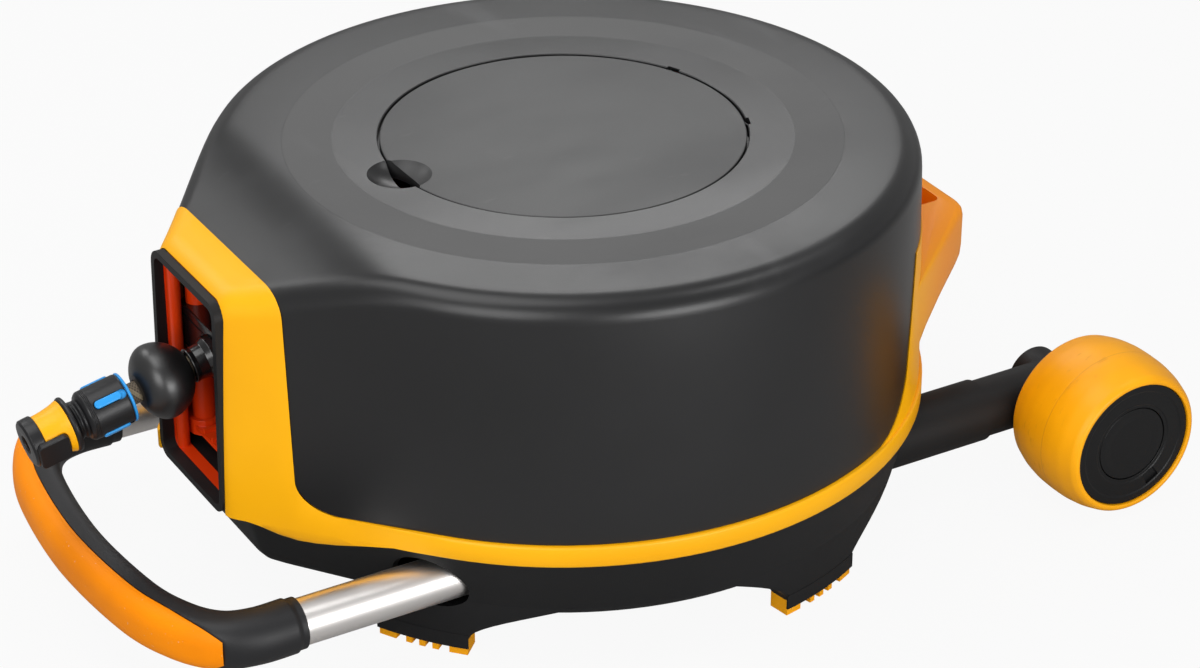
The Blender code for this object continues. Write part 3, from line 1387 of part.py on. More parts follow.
# Outlet bezel: the black liner of the opening in the outlet frame
def make_bezel():
    sections = []
    outer, inner = (BEZEL_WALL - GAP, 0.0116), (0.0, 0.0065)
    for (grow, corner), front in ((outer, True), (inner, True), (inner, False), (outer, False)):
        outline = rounded(OPEN_HALF + grow, OPEN_LOW - grow, OPEN_HIGH + grow, corner)
        section = []
        for y, z in outline:
            lean = NOSE_LEAN * (z - RING_TOP) / (BODY_TOP - RING_TOP)
            section.append((-(SNOUT_REACH - lean - 0.0010) if front else -BEZEL_BACK, y, z))
        sections.append(section)
    loft("outlet_bezel", sections, BLACK, cyclic=True)


make_bezel()


# Hose end: the tail through the carriage, the stop ball, the connector and the nozzle
def hose_turned(name, profile, material, steps=18):
    return on_hose(turned(name, profile, material, steps=steps, ring=True))


def hose_box(name, low, high, turn):
    """A box beside the hose's line, turned round it by an angle."""
    obj = box(name, low, high, helper=True)
    obj.data.transform(Matrix.Translation(obj.location))
    obj.data.transform(Matrix.Rotation(turn, 4, "Z"))
    obj.location = (0, 0, 0)
    return on_hose(obj)


def make_hose_end():
    on_hose(bar("hose_tail", HOSE_R, -0.0800, 0.0355, HOSE, steps=16))
    bore = HOSE_R + GAP
    ball = [(bore, 0.0140), (0.0190, 0.0140), (0.0203, 0.0128)]
    for degrees in (22, 8, -8, -24, -40, -56):
        a = math.radians(degrees)
        ball.append((BALL_R * math.cos(a), BALL_R * math.sin(a)))
    ball += [(0.0096, -0.0222), (bore, -0.0222)]
    hose_turned("stop_ball", ball, GLOSS, 22)
    body = hose_turned(
        "connector_body",
        [(0.005, 0.0680), (SPIGOT_END_R, 0.0680), (SPIGOT_END_R, 0.0615), (0.0128, 0.0615),
         (0.0118, 0.0588), (0.0128, 0.0560), (CONNECTOR_R - 0.002, 0.0550), (CONNECTOR_R, 0.0520),
         (CONNECTOR_R, 0.0330), (0.0125, 0.0330), (0.0125, 0.0225), (bore, 0.0225),
         (bore, 0.0360), (0.005, 0.0360)],
        BLACK,
    )
    collar = hose_turned(
        "connector_collar",
        [(0.0164, 0.0310), (0.0172, 0.0300), (0.0172, 0.0240), (0.0164, 0.0230), (0.0125 + SLIDE, 0.0230),
         (0.0125 + SLIDE, 0.0310)],
        BLUE,
    )
    for i in range(4):
        turn = math.radians(45 + 90 * i)
        cut(body, hose_box(f"pad_groove_{i}", (0.0145, -0.0044, 0.0300), (0.03, 0.0044, 0.0485), turn))
        join(collar, hose_box(f"collar_pad_{i}", (0.0149, -0.0040, 0.0290), (0.0179, 0.0040, 0.0480), turn))
    nozzle = hose_turned(
        "nozzle_body",
        [(0.0060, 0.0960), (NOZZLE_TIP_R, 0.0960), (NOZZLE_TIP_R, 0.0868), (0.0150, 0.0866),
         (0.0153, 0.0790), (0.0166, 0.0700), (0.0188, 0.0640), (0.0180, 0.0630), (0.0145, 0.0650),
         (SPIGOT_END_R + SLIDE, 0.0655), (SPIGOT_END_R + SLIDE, 0.0690), (0.0060, 0.0690)],
        AMBER,
    )
    cover = hose_turned(
        "nozzle_cover",
        [(NOZZLE_TIP_R + GAP, 0.0940), (0.0150, 0.0940), (0.0160, 0.0925), (0.0160, 0.0870 + GAP),
         (NOZZLE_TIP_R + GAP, 0.0870 + GAP)],
        BLACK,
    )
    arm_turn = math.radians(-50)
    cut(nozzle, hose_box("cover_pocket", (0.0128, -0.0084, 0.0715), (0.03, 0.0084, 0.0900), arm_turn))
    join(cover, hose_box("cover_arm", (0.0132, -0.0080, 0.0720), (0.0172, 0.0080, 0.0890), arm_turn))


make_hose_end()
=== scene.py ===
"""A trolley hose reel on four feet and two wheels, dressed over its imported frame."""

import math

import bmesh
import bpy
from mathutils import Matrix, Vector


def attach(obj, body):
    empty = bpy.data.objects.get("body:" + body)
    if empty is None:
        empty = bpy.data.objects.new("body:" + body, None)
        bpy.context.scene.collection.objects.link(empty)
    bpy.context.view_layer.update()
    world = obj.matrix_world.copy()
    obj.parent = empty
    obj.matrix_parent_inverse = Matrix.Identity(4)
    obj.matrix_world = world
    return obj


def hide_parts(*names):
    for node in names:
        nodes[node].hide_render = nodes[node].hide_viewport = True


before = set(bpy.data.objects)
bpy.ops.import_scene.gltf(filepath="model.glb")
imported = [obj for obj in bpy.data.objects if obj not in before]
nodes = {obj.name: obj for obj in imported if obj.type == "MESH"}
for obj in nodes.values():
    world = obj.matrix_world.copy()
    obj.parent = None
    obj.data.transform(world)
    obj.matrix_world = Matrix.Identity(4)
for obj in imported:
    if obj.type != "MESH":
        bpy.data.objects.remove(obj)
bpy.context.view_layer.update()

# The studio: a pale floor, a bright even sky and six soft lamps.
# The camera stands at the reel's front left, well above it, as a product
# photographer would with a long lens.
DRUM_X = 0.014282  # drum axis from the frame's origin
CAMERA_AT = (-1.0453 + DRUM_X, -1.8388, 1.3064)
CAMERA_AIM = (-0.1220 + DRUM_X, -0.2581, 0.2776)
LENS_MM = 104.0
SENSOR_MM = 36.0
LAMPS_AIM = (0, 0, 0.12)
FLOOR_HALF = 9.0
FLOOR_GLOW = 0.93  # how far the floor is its own white where the camera sees it
SKY_LIGHT = 0.40


def aimed(obj, at, target):
    """Places a lamp or camera and turns it to a point."""
    obj.location = at
    obj.rotation_mode = "QUATERNION"
    obj.rotation_quaternion = (Vector(target) - Vector(at)).to_track_quat("-Z", "Y")
    bpy.context.scene.collection.objects.link(obj)
    return obj


def soft_lamp(name, at, size, watts):
    lamp = bpy.data.lights.new(name, "AREA")
    lamp.shape = "RECTANGLE"
    lamp.size, lamp.size_y = size
    lamp.energy = watts
    return aimed(bpy.data.objects.new(name, lamp), at, LAMPS_AIM)


camera = bpy.data.cameras.new("camera")
camera.lens = LENS_MM
camera.sensor_width = SENSOR_MM
bpy.context.scene.camera = aimed(bpy.data.objects.new("camera", camera), CAMERA_AT, CAMERA_AIM)
soft_lamp("overhead_softbox", (-0.7, 0.1, 2.3), (1.6, 1.4), 19)
soft_lamp("back_softbox", (0.48, 0.78, 0.94), (0.70, 0.36), 3.0)
soft_lamp("back_left_softbox", (-0.60, 0.95, 1.02), (0.5, 0.4), 2.6)
soft_lamp("overhead_strip", (0.90, -0.60, 2.00), (0.5, 0.5), 4)
soft_lamp("front_left_softbox", (-1.9, -1.5, 1.2), (1.4, 1.4), 25)
soft_lamp("low_front_softbox", (0.15, -1.9, 0.40), (1.0, 0.7), 15)


class Socket:
    """A shader socket that Python's operators work on."""

    def __init__(self, finish, link):
        self.finish, self.link = finish, link

    def math(self, operation, *values):
        return self.finish.node("Math", {"operation": operation}, values)

    def __add__(self, other):
        return self.math("ADD", self, other)

    def __radd__(self, other):
        return self.math("ADD", other, self)

    def __sub__(self, other):
        return self.math("SUBTRACT", self, other)

    def __rsub__(self, other):
        return self.math("SUBTRACT", other, self)

    def __mul__(self, other):
        return self.math("MULTIPLY", self, other)

    def __rmul__(self, other):
        return self.math("MULTIPLY", other, self)

    def __pow__(self, other):
        return self.math("POWER", self, other)

    def sine(self):
        return self.math("SINE", self)

    def size(self):
        return self.math("ABSOLUTE", self)

    def larger(self, other):
        return self.math("MAXIMUM", self, other)

    def step(self, low, high):
        """0 below low, 1 above high, and smooth between them."""
        values = {"Value": self, "From Min": low, "From Max": high}
        return self.finish.node("MapRange", {"interpolation_type": "SMOOTHSTEP"}, values)


def srgb(red, green, blue):
    """A colour as a screen shows it, in the linear values that a shader takes."""
    return tuple(((c / 255 + 0.055) / 1.055) ** 2.4 for c in (red, green, blue))


class Finish:
    """A material under construction: its nodes, and the surface that they end in."""

    def __init__(self, name, color, roughness, metallic=0.0, coat=0.0, shine=0.5):
        self.material = bpy.data.materials.new(name)
        self.material.use_nodes = True
        self.tree = self.material.node_tree
        self.surface = self.tree.nodes["Principled BSDF"]
        self.color = srgb(*color)
        self.set("Base Color", (*self.color, 1.0))
        self.set("Roughness", roughness)
        self.set("Metallic", metallic)
        self.set("Coat Weight", coat)
        self.set("Coat Roughness", 0.15)
        self.set("Specular IOR Level", shine)

    def node(self, kind, settings, values, out=0):
        """A node of a type, with its settings and the values or links of its sockets."""
        made = self.tree.nodes.new("ShaderNode" + kind)
        for key, value in settings.items():
            setattr(made, key, value)
        pairs = values.items() if isinstance(values, dict) else enumerate(values)
        for place, value in pairs:
            if isinstance(value, Socket):
                self.tree.links.new(value.link, made.inputs[place])
            else:
                made.inputs[place].default_value = value
        return Socket(self, made.outputs[out])

    def set(self, socket, value):
        if isinstance(value, Socket):
            self.tree.links.new(value.link, self.surface.inputs[socket])
        else:
            self.surface.inputs[socket].default_value = value

    def place(self):
        """The point on the reel, in metres."""
        return self.node("TexCoord", {}, (), out=3)

    def wrapped(self):
        """The point round and along a turned or swept piece."""
        return self.node("TexCoord", {}, (), out=2)

    def parts(self, vector):
        """The x, y and z of a vector."""
        split = self.node("SeparateXYZ", {}, (vector,)).link.node
        return [Socket(self, output) for output in split.outputs]

    def noise(self, scale, detail=2.0, stretch=(1, 1, 1), where=None):
        where = where or self.place()
        spread = self.node("VectorMath", {"operation": "MULTIPLY"}, (where, stretch))
        return self.node("TexNoise", {}, {"Vector": spread, "Scale": scale, "Detail": detail})

    def blend(self, share, low, high):
        """A colour between two, by a mask."""
        low, high = ((*c, 1.0) if isinstance(c, tuple) else c for c in (low, high))
        return self.node("Mix", {"data_type": "RGBA"}, {0: share, 6: low, 7: high}, out=2)

    def shade(self, factor):
        """The finish's own colour, made darker or lighter."""
        return tuple(min(1.0, c * factor) for c in self.color)

    def bump(self, height, strength, distance):
        values = {"Height": height, "Strength": strength, "Distance": distance}
        self.set("Normal", self.node("Bump", {}, values))


def studio_floor():
    """A white sweep: it takes shadows, and reads as white to the camera."""
    mesh = bpy.data.meshes.new("studio_floor")
    corners = [(-1, -1), (1, -1), (1, 1), (-1, 1)]
    mesh.from_pydata([(x * FLOOR_HALF, y * FLOOR_HALF, 0.0) for x, y in corners], [], [(0, 1, 2, 3)])
    floor = bpy.data.objects.new("studio_floor", mesh)
    bpy.context.scene.collection.objects.link(floor)
    paper = Finish("white_sweep", (165, 165, 165), 0.9)
    seen = paper.node("LightPath", {}, ())
    glow = paper.node("Emission", {}, {"Color": (1, 1, 1, 1), "Strength": 1.0})
    lit = Socket(paper, paper.surface.outputs[0])
    mixed = paper.node("MixShader", {}, (FLOOR_GLOW * seen, lit, glow))
    paper.tree.links.new(mixed.link, paper.tree.nodes["Material Output"].inputs["Surface"])
    mesh.materials.append(paper.material)


def studio_sky():
    """An even sky that lights the reel softly and is white where the camera sees it."""
    world = bpy.data.worlds.new("studio_sky")
    world.use_nodes = True
    tree = world.node_tree
    dim = tree.nodes["Background"]
    dim.inputs["Color"].default_value = (1, 1, 1, 1)
    dim.inputs["Strength"].default_value = SKY_LIGHT
    white = tree.nodes.new("ShaderNodeBackground")
    white.inputs["Color"].default_value = (1, 1, 1, 1)
    path = tree.nodes.new("ShaderNodeLightPath")
    mix = tree.nodes.new("ShaderNodeMixShader")
    tree.links.new(path.outputs["Is Camera Ray"], mix.inputs[0])
    tree.links.new(dim.outputs[0], mix.inputs[1])
    tree.links.new(white.outputs[0], mix.inputs[2])
    tree.links.new(mix.outputs[0], tree.nodes["World Output"].inputs["Surface"])
    bpy.context.scene.world = world


studio_floor()
studio_sky()
bpy.context.scene.view_settings.view_transform = "Standard"


# Base tray: a shallow black dish moulded in polypropylene with four flared legs.
# It has a round mouth for each tube of the pull handle at the front and a sleeve
# for each wheel arm at the back. A fine spark-eroded grain takes the shine off it.
BODY_R = 0.250
BODY_TOP = 0.275
RING_BOTTOM = 0.0856
SNOUT_REACH = 0.288
SNOUT_HALF = 0.054
CORNER = 160  # sharpness of the nose's upright corners
NOSE_STEPS = (  # degrees from the nose's middle, closest together at its corners
    0, 2.5, 5, 7, 8.2, 9, 9.5, 9.9, 10.2, 10.45, 10.62, 10.8, 11.05, 11.4, 11.9, 12.6, 13.6, 15, 17, 19.5,
    22, 25, 28, 31, 34, 37, 39.5, 41.5, 43.5,
)
ROUND_STEPS = 54  # from there to the middle of the back
WALL = 0.003  # of the mouldings
GAP = 0.0004  # between pieces that touch on the real reel
BASE_R = BODY_R - 0.0035
BASE_REACH = 0.268
BASE_WALL = (  # up the outside and down the inside: how far in at the back, how far in at the nose, height
    (0.0300, 0.0400, 0.0335), (0.0240, 0.0290, 0.0347), (0.0170, 0.0180, 0.0378), (0.0125, 0.0115, 0.0420),
    (0.0100, 0.0080, 0.0462), (0.0084, 0.0064, 0.0520), (0.0066, 0.0048, 0.0590), (0.0042, 0.0030, 0.0680),
    (0.0018, 0.0012, 0.0770), (0.0000, 0.0000, 0.0850), (0.0095, 0.0095, 0.0850), (0.0095, 0.0095, 0.0820),
    (0.0040, 0.0040, 0.0800), (0.0130, 0.0110, 0.0470), (0.0340, 0.0440, 0.0365),
)
FOOT_R = 0.233
FOOT_WIDTH = 0.018
FOOT_TOP = 0.0125
LEG_TOP = 0.048  # inside the tray's wall
LEG_LEAN = 0.0036  # how far the outer face leans out as it rises
LEG_HOLLOW = 1.7  # how late the flare of its ends comes
LEGS = ((207.8, 224.3, 4.0, 21.0), (279.9, 297.4, 15.0, 20.0))  # near side: start, end, and their flare
SKIRT_LOW = 0.0058
TUBE_Y = 0.149
TUBE_Z = 0.058
TUBE_R = 0.0157
ARM_R = 0.0170  # of a wheel arm inside its sleeve
SLEEVE_R = 0.0222
SLEEVE_END = 0.2486
INLET_Z = 0.056


def nose_radius(angle, radius, reach, half, toward=math.pi):
    """Distance from the drum axis to an outline that is round but for a flat-ended nose."""
    away = abs((angle - toward + math.pi) % (2 * math.pi) - math.pi)
    flank = math.atan2(half, reach) + math.acos(radius / math.hypot(reach, half))
    if away >= flank:
        return radius
    side = radius / math.cos(flank - away)
    front = reach / math.cos(away)
    return front * (1 + (front / side) ** CORNER) ** (-1 / CORNER)


def outline_angles():
    last = NOSE_STEPS[-1]
    half = list(NOSE_STEPS) + [last + (180 - last) * i / ROUND_STEPS for i in range(1, ROUND_STEPS + 1)]
    return [math.pi + math.radians(a) for a in half + [360 - a for a in reversed(half[1:-1])]]


ANGLES = outline_angles()


def polar(radius, angle):
    return radius * math.cos(angle), radius * math.sin(angle)


def evenly(first, last, count):
    """Values from the first to the last in even steps."""
    return [first + (last - first) * i / count for i in range(count + 1)]


def ring_at(radius_of, height_of):
    """A closed section of the body from its radius at an angle and its height at an x."""
    section = []
    for angle in ANGLES:
        x, y = polar(radius_of(angle), angle)
        section.append((x, y, height_of(x)))
    return section


def flat_ring(radius_of, height):
    return ring_at(radius_of, lambda x: height)


def solid(name, bm):
    """An object for a closed shape that was made about the drum axis."""
    bmesh.ops.recalc_face_normals(bm, faces=bm.faces)
    mesh = bpy.data.meshes.new(name)
    bm.to_mesh(mesh)
    bm.free()
    obj = bpy.data.objects.new(name, mesh)
    bpy.context.scene.collection.objects.link(obj)
    return obj


def skin(name, sections, cyclic=False):
    """A skin through sections of equal point counts, closed at its ends unless it is cyclic."""
    bm = bmesh.new()
    rings = [[bm.verts.new(point) for point in section] for section in sections]
    count = len(rings[0])
    following = rings[1:] + (rings[:1] if cyclic else [])
    for low, high in zip(rings, following):
        for i in range(count):
            bm.faces.new((low[i], low[(i + 1) % count], high[(i + 1) % count], high[i]))
    if not cyclic:
        bm.faces.new(list(reversed(rings[0])))
        bm.faces.new(rings[-1])
    return solid(name, bm)


def slab(name, outline, low, high):
    """An outline in plan, made thick from one height to another."""
    return skin(name, [[(x, y, z) for x, y in outline] for z in (low, high)])


def eased(points, radius, closed=False, cuts=4):
    """A line of 2-D points whose corners are rounded off."""
    points = [Vector(p[:2]) for p in points]
    out = []
    for i, here in enumerate(points):
        if not closed and i in (0, len(points) - 1):
            out.append(tuple(here))
            continue
        before, after = points[i - 1], points[(i + 1) % len(points)]
        reach = min(radius, 0.48 * (before - here).length, 0.48 * (after - here).length)
        start = here + (before - here).normalized() * reach
        end = here + (after - here).normalized() * reach
        for k in range(cuts + 1):
            t = k / cuts
            out.append(tuple(start * (1 - t) ** 2 + here * 2 * t * (1 - t) + end * t**2))
    return out


AXES = {
    "Z": Matrix.Identity(4),
    "X": Matrix.Rotation(math.pi / 2, 4, "Y"),
    "Y": Matrix.Rotation(-math.pi / 2, 4, "X"),
}


def turned(name, profile, at=(0, 0, 0), along="Z", steps=96, ring=False, edge=0.0):
    """A profile of (radius, height) points turned about an axis, with UVs round and along it."""
    if edge:
        profile = eased(profile, edge, ring)
    bm = bmesh.new()
    uv = bm.loops.layers.uv.new("round_and_along")
    lengths = [0.0]
    for (r0, h0), (r1, h1) in zip(profile, profile[1:] + profile[:1]):
        lengths.append(lengths[-1] + math.hypot(r1 - r0, h1 - h0))
    rings = []
    for radius, height in profile:
        if radius < 1e-7:
            rings.append([bm.verts.new((0, 0, height))] * steps)
        else:
            turns = [2 * math.pi * i / steps for i in range(steps)]
            rings.append([bm.verts.new((*polar(radius, a), height)) for a in turns])
    pairs = list(zip(rings, rings[1:] + (rings[:1] if ring else [])))
    for k, (low, high) in enumerate(pairs):
        for i in range(steps):
            j = (i + 1) % steps
            corners = [(low[i], i, k), (high[i], i, k + 1), (high[j], i + 1, k + 1), (low[j], i + 1, k)]
            face_corners = [c for n, c in enumerate(corners) if c[0] is not corners[n - 1][0]]
            if len(face_corners) < 3:
                continue
            face = bm.faces.new([c[0] for c in face_corners])
            for loop, (_, around, row) in zip(face.loops, face_corners):
                loop[uv].uv = (around / steps, lengths[row])
    bm.transform(Matrix.Translation(at) @ AXES[along])
    return solid(name, bm)


def rod(name, radius, low, high, at=(0, 0, 0), along="Z", steps=64):
    """A plain round tool for cutting or joining."""
    return turned(name, [(0, high), (radius, high), (radius, low), (0, low)], at, along, steps)


def settled(obj):
    """Keeps what the modifiers make as the object's own mesh."""
    graph = bpy.context.evaluated_depsgraph_get()
    mesh = bpy.data.meshes.new_from_object(obj.evaluated_get(graph))
    obj.modifiers.clear()
    obj.data = mesh
    return obj


def carve(obj, operation, tools):
    for tool in tools:
        modifier = obj.modifiers.new("carve", "BOOLEAN")
        modifier.operation = operation
        modifier.object = tool
        modifier.solver = "MANIFOLD"
    settled(obj)
    for tool in tools:
        bpy.data.objects.remove(tool)
    return obj


def cut(obj, *tools):
    return carve(obj, "DIFFERENCE", tools)


def join(obj, *tools):
    return carve(obj, "UNION", tools)


def keep(obj, *tools):
    return carve(obj, "INTERSECT", tools)


def edge_bevel(obj, width, angle, cuts=2):
    bevel = obj.modifiers.new("edge", "BEVEL")
    bevel.width = width
    bevel.segments = cuts
    bevel.limit_method = "ANGLE"
    bevel.angle_limit = math.radians(angle)


def rounded_off(obj, width, angle=38, cuts=2):
    """Rounds the sharp edges of a moulding."""
    edge_bevel(obj, width, angle, cuts)
    return settled(obj)


def fitted(obj, body, finish, slot, *replaced, sharp=45, even=True):
    """Moves a finished piece from the drum axis to its place and gives it its body and material."""
    mesh = obj.data
    mesh.transform(Matrix.Translation((DRUM_X, 0, 0)))
    mesh.shade_smooth()
    mesh.set_sharp_from_angle(angle=math.radians(sharp))
    mesh.materials.clear()
    mesh.materials.append(finish)
    if even:
        obj.modifiers.new("flat_faces", "WEIGHTED_NORMAL").keep_sharp = True
    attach(obj, body)
    if replaced:
        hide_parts(*replaced)
    return obj


def moulded(name, color, roughness, grain_mm=0.7, depth=0.25, coat=0.0, spread=0.10, shine=0.4):
    """A moulded plastic: its grain, the cloudiness of its colour, and fine scuffs."""
    finish = Finish(name, color, roughness, coat=coat, shine=shine)
    cloud = finish.noise(7.0, 3.0)
    grain = finish.noise(1000 / grain_mm, 2.0)
    scuff = finish.noise(60.0, 3.0, (1.0, 0.15, 1.0)).step(0.66, 0.72)
    dark, light = finish.shade(1 - spread), finish.shade(1 + spread)
    finish.set("Base Color", finish.blend(cloud.step(0.3, 0.7), dark, light))
    finish.set("Roughness", roughness + (cloud - 0.5) * 0.10 + (grain - 0.5) * 0.08 + scuff * 0.05)
    finish.bump(grain + scuff * 0.5, depth, 0.0003)
    return finish


ERODED_BLACK = moulded("eroded_black_plastic", (20, 20, 21), 0.54, 0.6, 0.30, shine=0.3).material


def base_ring(inward, nose_inward, height):
    radius, reach = BASE_R - inward, BASE_REACH - nose_inward
    return flat_ring(lambda a: nose_radius(a, radius, reach, SNOUT_HALF - 0.006), height)


def leg(name, start, end, flare_start, flare_end, side):
    """A leg whose ends spread in a hollow curve as it rises to the wall."""
    sections = []
    for k in range(11):
        rise = k / 10
        spread = rise**LEG_HOLLOW
        outer, inner = FOOT_R + LEG_LEAN * rise, FOOT_R - FOOT_WIDTH - 0.004 * rise
        first = math.radians(start - flare_start * spread)
        last = math.radians(end + flare_end * spread)
        turns = evenly(first, last, 12)
        edge = [polar(outer, a) for a in turns] + [polar(inner, a) for a in reversed(turns)]
        height = FOOT_TOP + (LEG_TOP - FOOT_TOP) * rise
        sections.append([(x, -side * y, height) for x, y in eased(edge, 0.003, True, 2)])
    return skin(name, sections)


def leg_skirt(name, start, end, side):
    """A thin lip that hangs from a leg's outer edge and hides the top of its pad."""
    turns = [math.radians(a) for a in evenly(start, end, 12)]
    edge = [polar(FOOT_R + 0.0006, a) for a in turns] + [polar(FOOT_R - 0.0007, a) for a in reversed(turns)]
    return slab(name, [(x, -side * y) for x, y in edge], SKIRT_LOW, FOOT_TOP + 0.004)


def make_base():
    tray = skin("base_tray", [base_ring(*row) for row in BASE_WALL])
    legs = [leg(f"leg_{i}_{side}", *row, side) for i, row in enumerate(LEGS) for side in (-1, 1)]
    join(tray, *legs)
    join(tray, *[leg_skirt("leg_skirt", row[0], row[1], side) for row in LEGS for side in (-1, 1)])
    for side in (-1, 1):
        where = (0, side * TUBE_Y, TUBE_Z)
        join(tray, rod("sleeve", SLEEVE_R, 0.148, SLEEVE_END, where, "X"))
        mouth = rod("mouth", TUBE_R + 0.0045, -0.30, -0.110, where, "X")
        sleeve_bore = rod("sleeve_bore", ARM_R + GAP, 0.134, 0.26, where, "X")
        guide_room = rod("guide_room", 0.0197, -0.20, 0.1364, where, "X")
        cut(tray, mouth, sleeve_bore, guide_room)
    cut(tray, rod("inlet_hole", 0.0099, 0.18, 0.27, (0, 0, INLET_Z), "X"))
    rounded_off(tray, 0.0009)
    fitted(tray, "base", ERODED_BLACK, "charcoal", "base_tray")


make_base()


# Feet: amber rubber pads clipped under the legs, each a sole with two end blocks and
# three ribs. The rubber is softer and duller than the mouldings above it.
def rubber(name, color, roughness, shine=0.3):
    """Moulded rubber: a soft skin, paler where it has rubbed, and a few specks of dust."""
    finish = Finish(name, color, roughness, shine=shine)
    cloud = finish.noise(11.0, 4.0)
    skin_grain = finish.noise(1400.0, 2.0)
    dust = finish.noise(420.0, 2.0).step(0.70, 0.76)
    tone = finish.blend(cloud.step(0.3, 0.7), finish.shade(0.88), finish.shade(1.08))
    finish.set("Base Color", finish.blend(dust * 0.35, tone, (0.75, 0.66, 0.52)))
    finish.set("Roughness", roughness + (cloud - 0.5) * 0.12 + dust * 0.2)
    finish.bump(skin_grain + cloud * 0.6, 0.22, 0.0003)
    return finish


AMBER_RUBBER = rubber("amber_rubber", (252, 168, 4), 0.50).material


def softened(node, finish, width=0.0):
    """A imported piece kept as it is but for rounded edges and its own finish."""
    obj = nodes[node]
    weld = obj.modifiers.new("weld", "WELD")
    weld.merge_threshold = 0.00001
    if width:
        edge_bevel(obj, width, 40)
    obj.data.materials.clear()
    obj.data.materials.append(finish)


for place in ("front_near", "front_far", "rear_near", "rear_far"):
    softened(f"foot_pad_{place}", AMBER_RUBBER, 0.0005)


# Inner deck, tube guides and inlet: plain black mouldings hidden by the shell.
# The inlet's threaded tail comes out at the middle of the back for the supply hose.
PLAIN_BLACK = moulded("plain_black_plastic", (24, 24, 26), 0.42, 0.9, 0.18).material
for node in ("drum_deck", "tube_guide_near", "tube_guide_far", "inlet_pipe", "guide_bridge"):
    softened(node, PLAIN_BLACK)


def make_inlet():
    wall = BASE_R - 0.006
    thread = [(0.0100 - 0.0009 * (k % 2), wall + 0.0085 + 0.0006 * k) for k in range(9)]
    profile = [(0.0045, wall - 0.0115), (0.0045, wall + 0.0160), (0.0082, wall + 0.0160)]
    profile += list(reversed(thread)) + [(0.0085, wall + 0.0072), (0.0125, wall + 0.0070)]
    profile += [(0.0125, wall + 0.0035), (0.0091, wall + 0.0035), (0.0091, wall - 0.0115)]
    tail = turned("inlet_connector", profile, (0, 0, INLET_Z), "X", 72, True, 0.0003)
    fitted(tail, "base", PLAIN_BLACK, "charcoal", "inlet_connector", sharp=40)


make_inlet()


# Pull handle: two drawn and satin anodised aluminium tubes, and a curved grip. The
# grip's black core wraps the inner side, and a softer amber pad is moulded over its
# outer side between the two sockets.
def satin_aluminium():
    finish = Finish("satin_anodised_aluminium", (252, 248, 245), 0.32, metallic=1.0)
    draw = finish.noise(900.0, 2.0, (0.02, 1.0, 1.0))
    streak = finish.noise(160.0, 3.0, (0.03, 1.0, 1.0))
    rub = finish.noise(40.0, 3.0, (0.5, 1.0, 1.0)).step(0.62, 0.74)
    finish.set("Base Color", finish.blend(streak, finish.shade(0.95), finish.shade(1.03)))
    finish.set("Roughness", 0.31 + draw * 0.06 + streak * 0.04 + rub * 0.06)
    finish.bump(draw + streak * 0.5, 0.03, 0.0001)
    return finish


def steel(name, color):
    finish = Finish(name, color, 0.28, metallic=1.0)
    cloud = finish.noise(30.0, 3.0)
    fine = finish.noise(1500.0, 2.0)
    finish.set("Base Color", finish.blend(cloud, finish.shade(0.85), finish.shade(1.1)))
    finish.set("Roughness", 0.22 + cloud * 0.12 + fine * 0.08)
    finish.bump(fine, 0.10, 0.0002)
    return finish


SATIN_ALUMINIUM = satin_aluminium().material
TURNED_STEEL = steel("turned_steel", (150, 152, 156)).material
PAD_RUBBER = rubber("pad_rubber", (252, 141, 0), 0.50, 0.12).material
GRIP_BLACK = moulded("grip_black_plastic", (27, 27, 29), 0.48, 0.8, 0.30).material
TUBE_WALL = 0.0016
TUBE_BACK, TUBE_FRONT = 0.115, -0.293
GRIP_FRONT = 0.370
GRIP_BOW = ((0.282, 0.149), (0.312, 0.149), (0.334, 0.141), (0.351, 0.118), (0.3635, 0.078))  # one half
GRIP_SOCKET_R = 0.0186
GRIP_HALF_W = 0.0165
GRIP_HALF_H = 0.0175
GRIP_COUNT = 23  # stations of the grip's own line, which the finer ones fall between
GRIP_FINE = 8  # stations between two of those
PAD_FIRST = 4  # station where the pad begins


def make_tubes():
    for side, name in ((-1, "near"), (1, "far")):
        inside = TUBE_R - TUBE_WALL
        profile = [(TUBE_R, TUBE_BACK), (TUBE_R, TUBE_FRONT), (inside, TUBE_FRONT), (inside, TUBE_BACK)]
        tube = turned(f"handle_tube_{name}", profile, (0, side * TUBE_Y, TUBE_Z), "X", 96, True, 0.0004)
        fitted(tube, "handle", SATIN_ALUMINIUM, "aluminium", f"handle_tube_{name}")


def grip_point(place):
    """A point on the grip's middle line and its direction, at a share of the whole."""
    points = [Vector((-x, -y, 0)) for x, y in GRIP_BOW] + [Vector((-GRIP_FRONT, 0, 0))]
    points += [Vector((-x, y, 0)) for x, y in reversed(GRIP_BOW)]
    points = [points[0] * 2 - points[1]] + points + [points[-1] * 2 - points[-2]]
    spans = len(points) - 3
    k = min(int(place * spans), spans - 1)
    t = place * spans - k
    a, b, c, d = points[k:k + 4]
    point = 0.5 * (
        2 * b + (c - a) * t + (2 * a - 5 * b + 4 * c - d) * t**2 + (3 * b - a - 3 * c + d) * t**3
    )
    slope = (c - a) + 2 * (2 * a - 5 * b + 4 * c - d) * t + 3 * (3 * b - a - 3 * c + d) * t**2
    return point, slope.normalized()


def smooth(share):
    """A share held between 0 and 1 and eased at both ends."""
    share = min(1.0, max(0.0, share))
    return share * share * (3 - 2 * share)


def superoval(half_w, half_h, squareness, a):
    """A point of an outline that is an oval at squareness 2 and squarer above that."""
    c, s = math.cos(a), math.sin(a)
    return (
        half_w * math.copysign(abs(c) ** (2 / squareness), c),
        half_h * math.copysign(abs(s) ** (2 / squareness), s),
    )


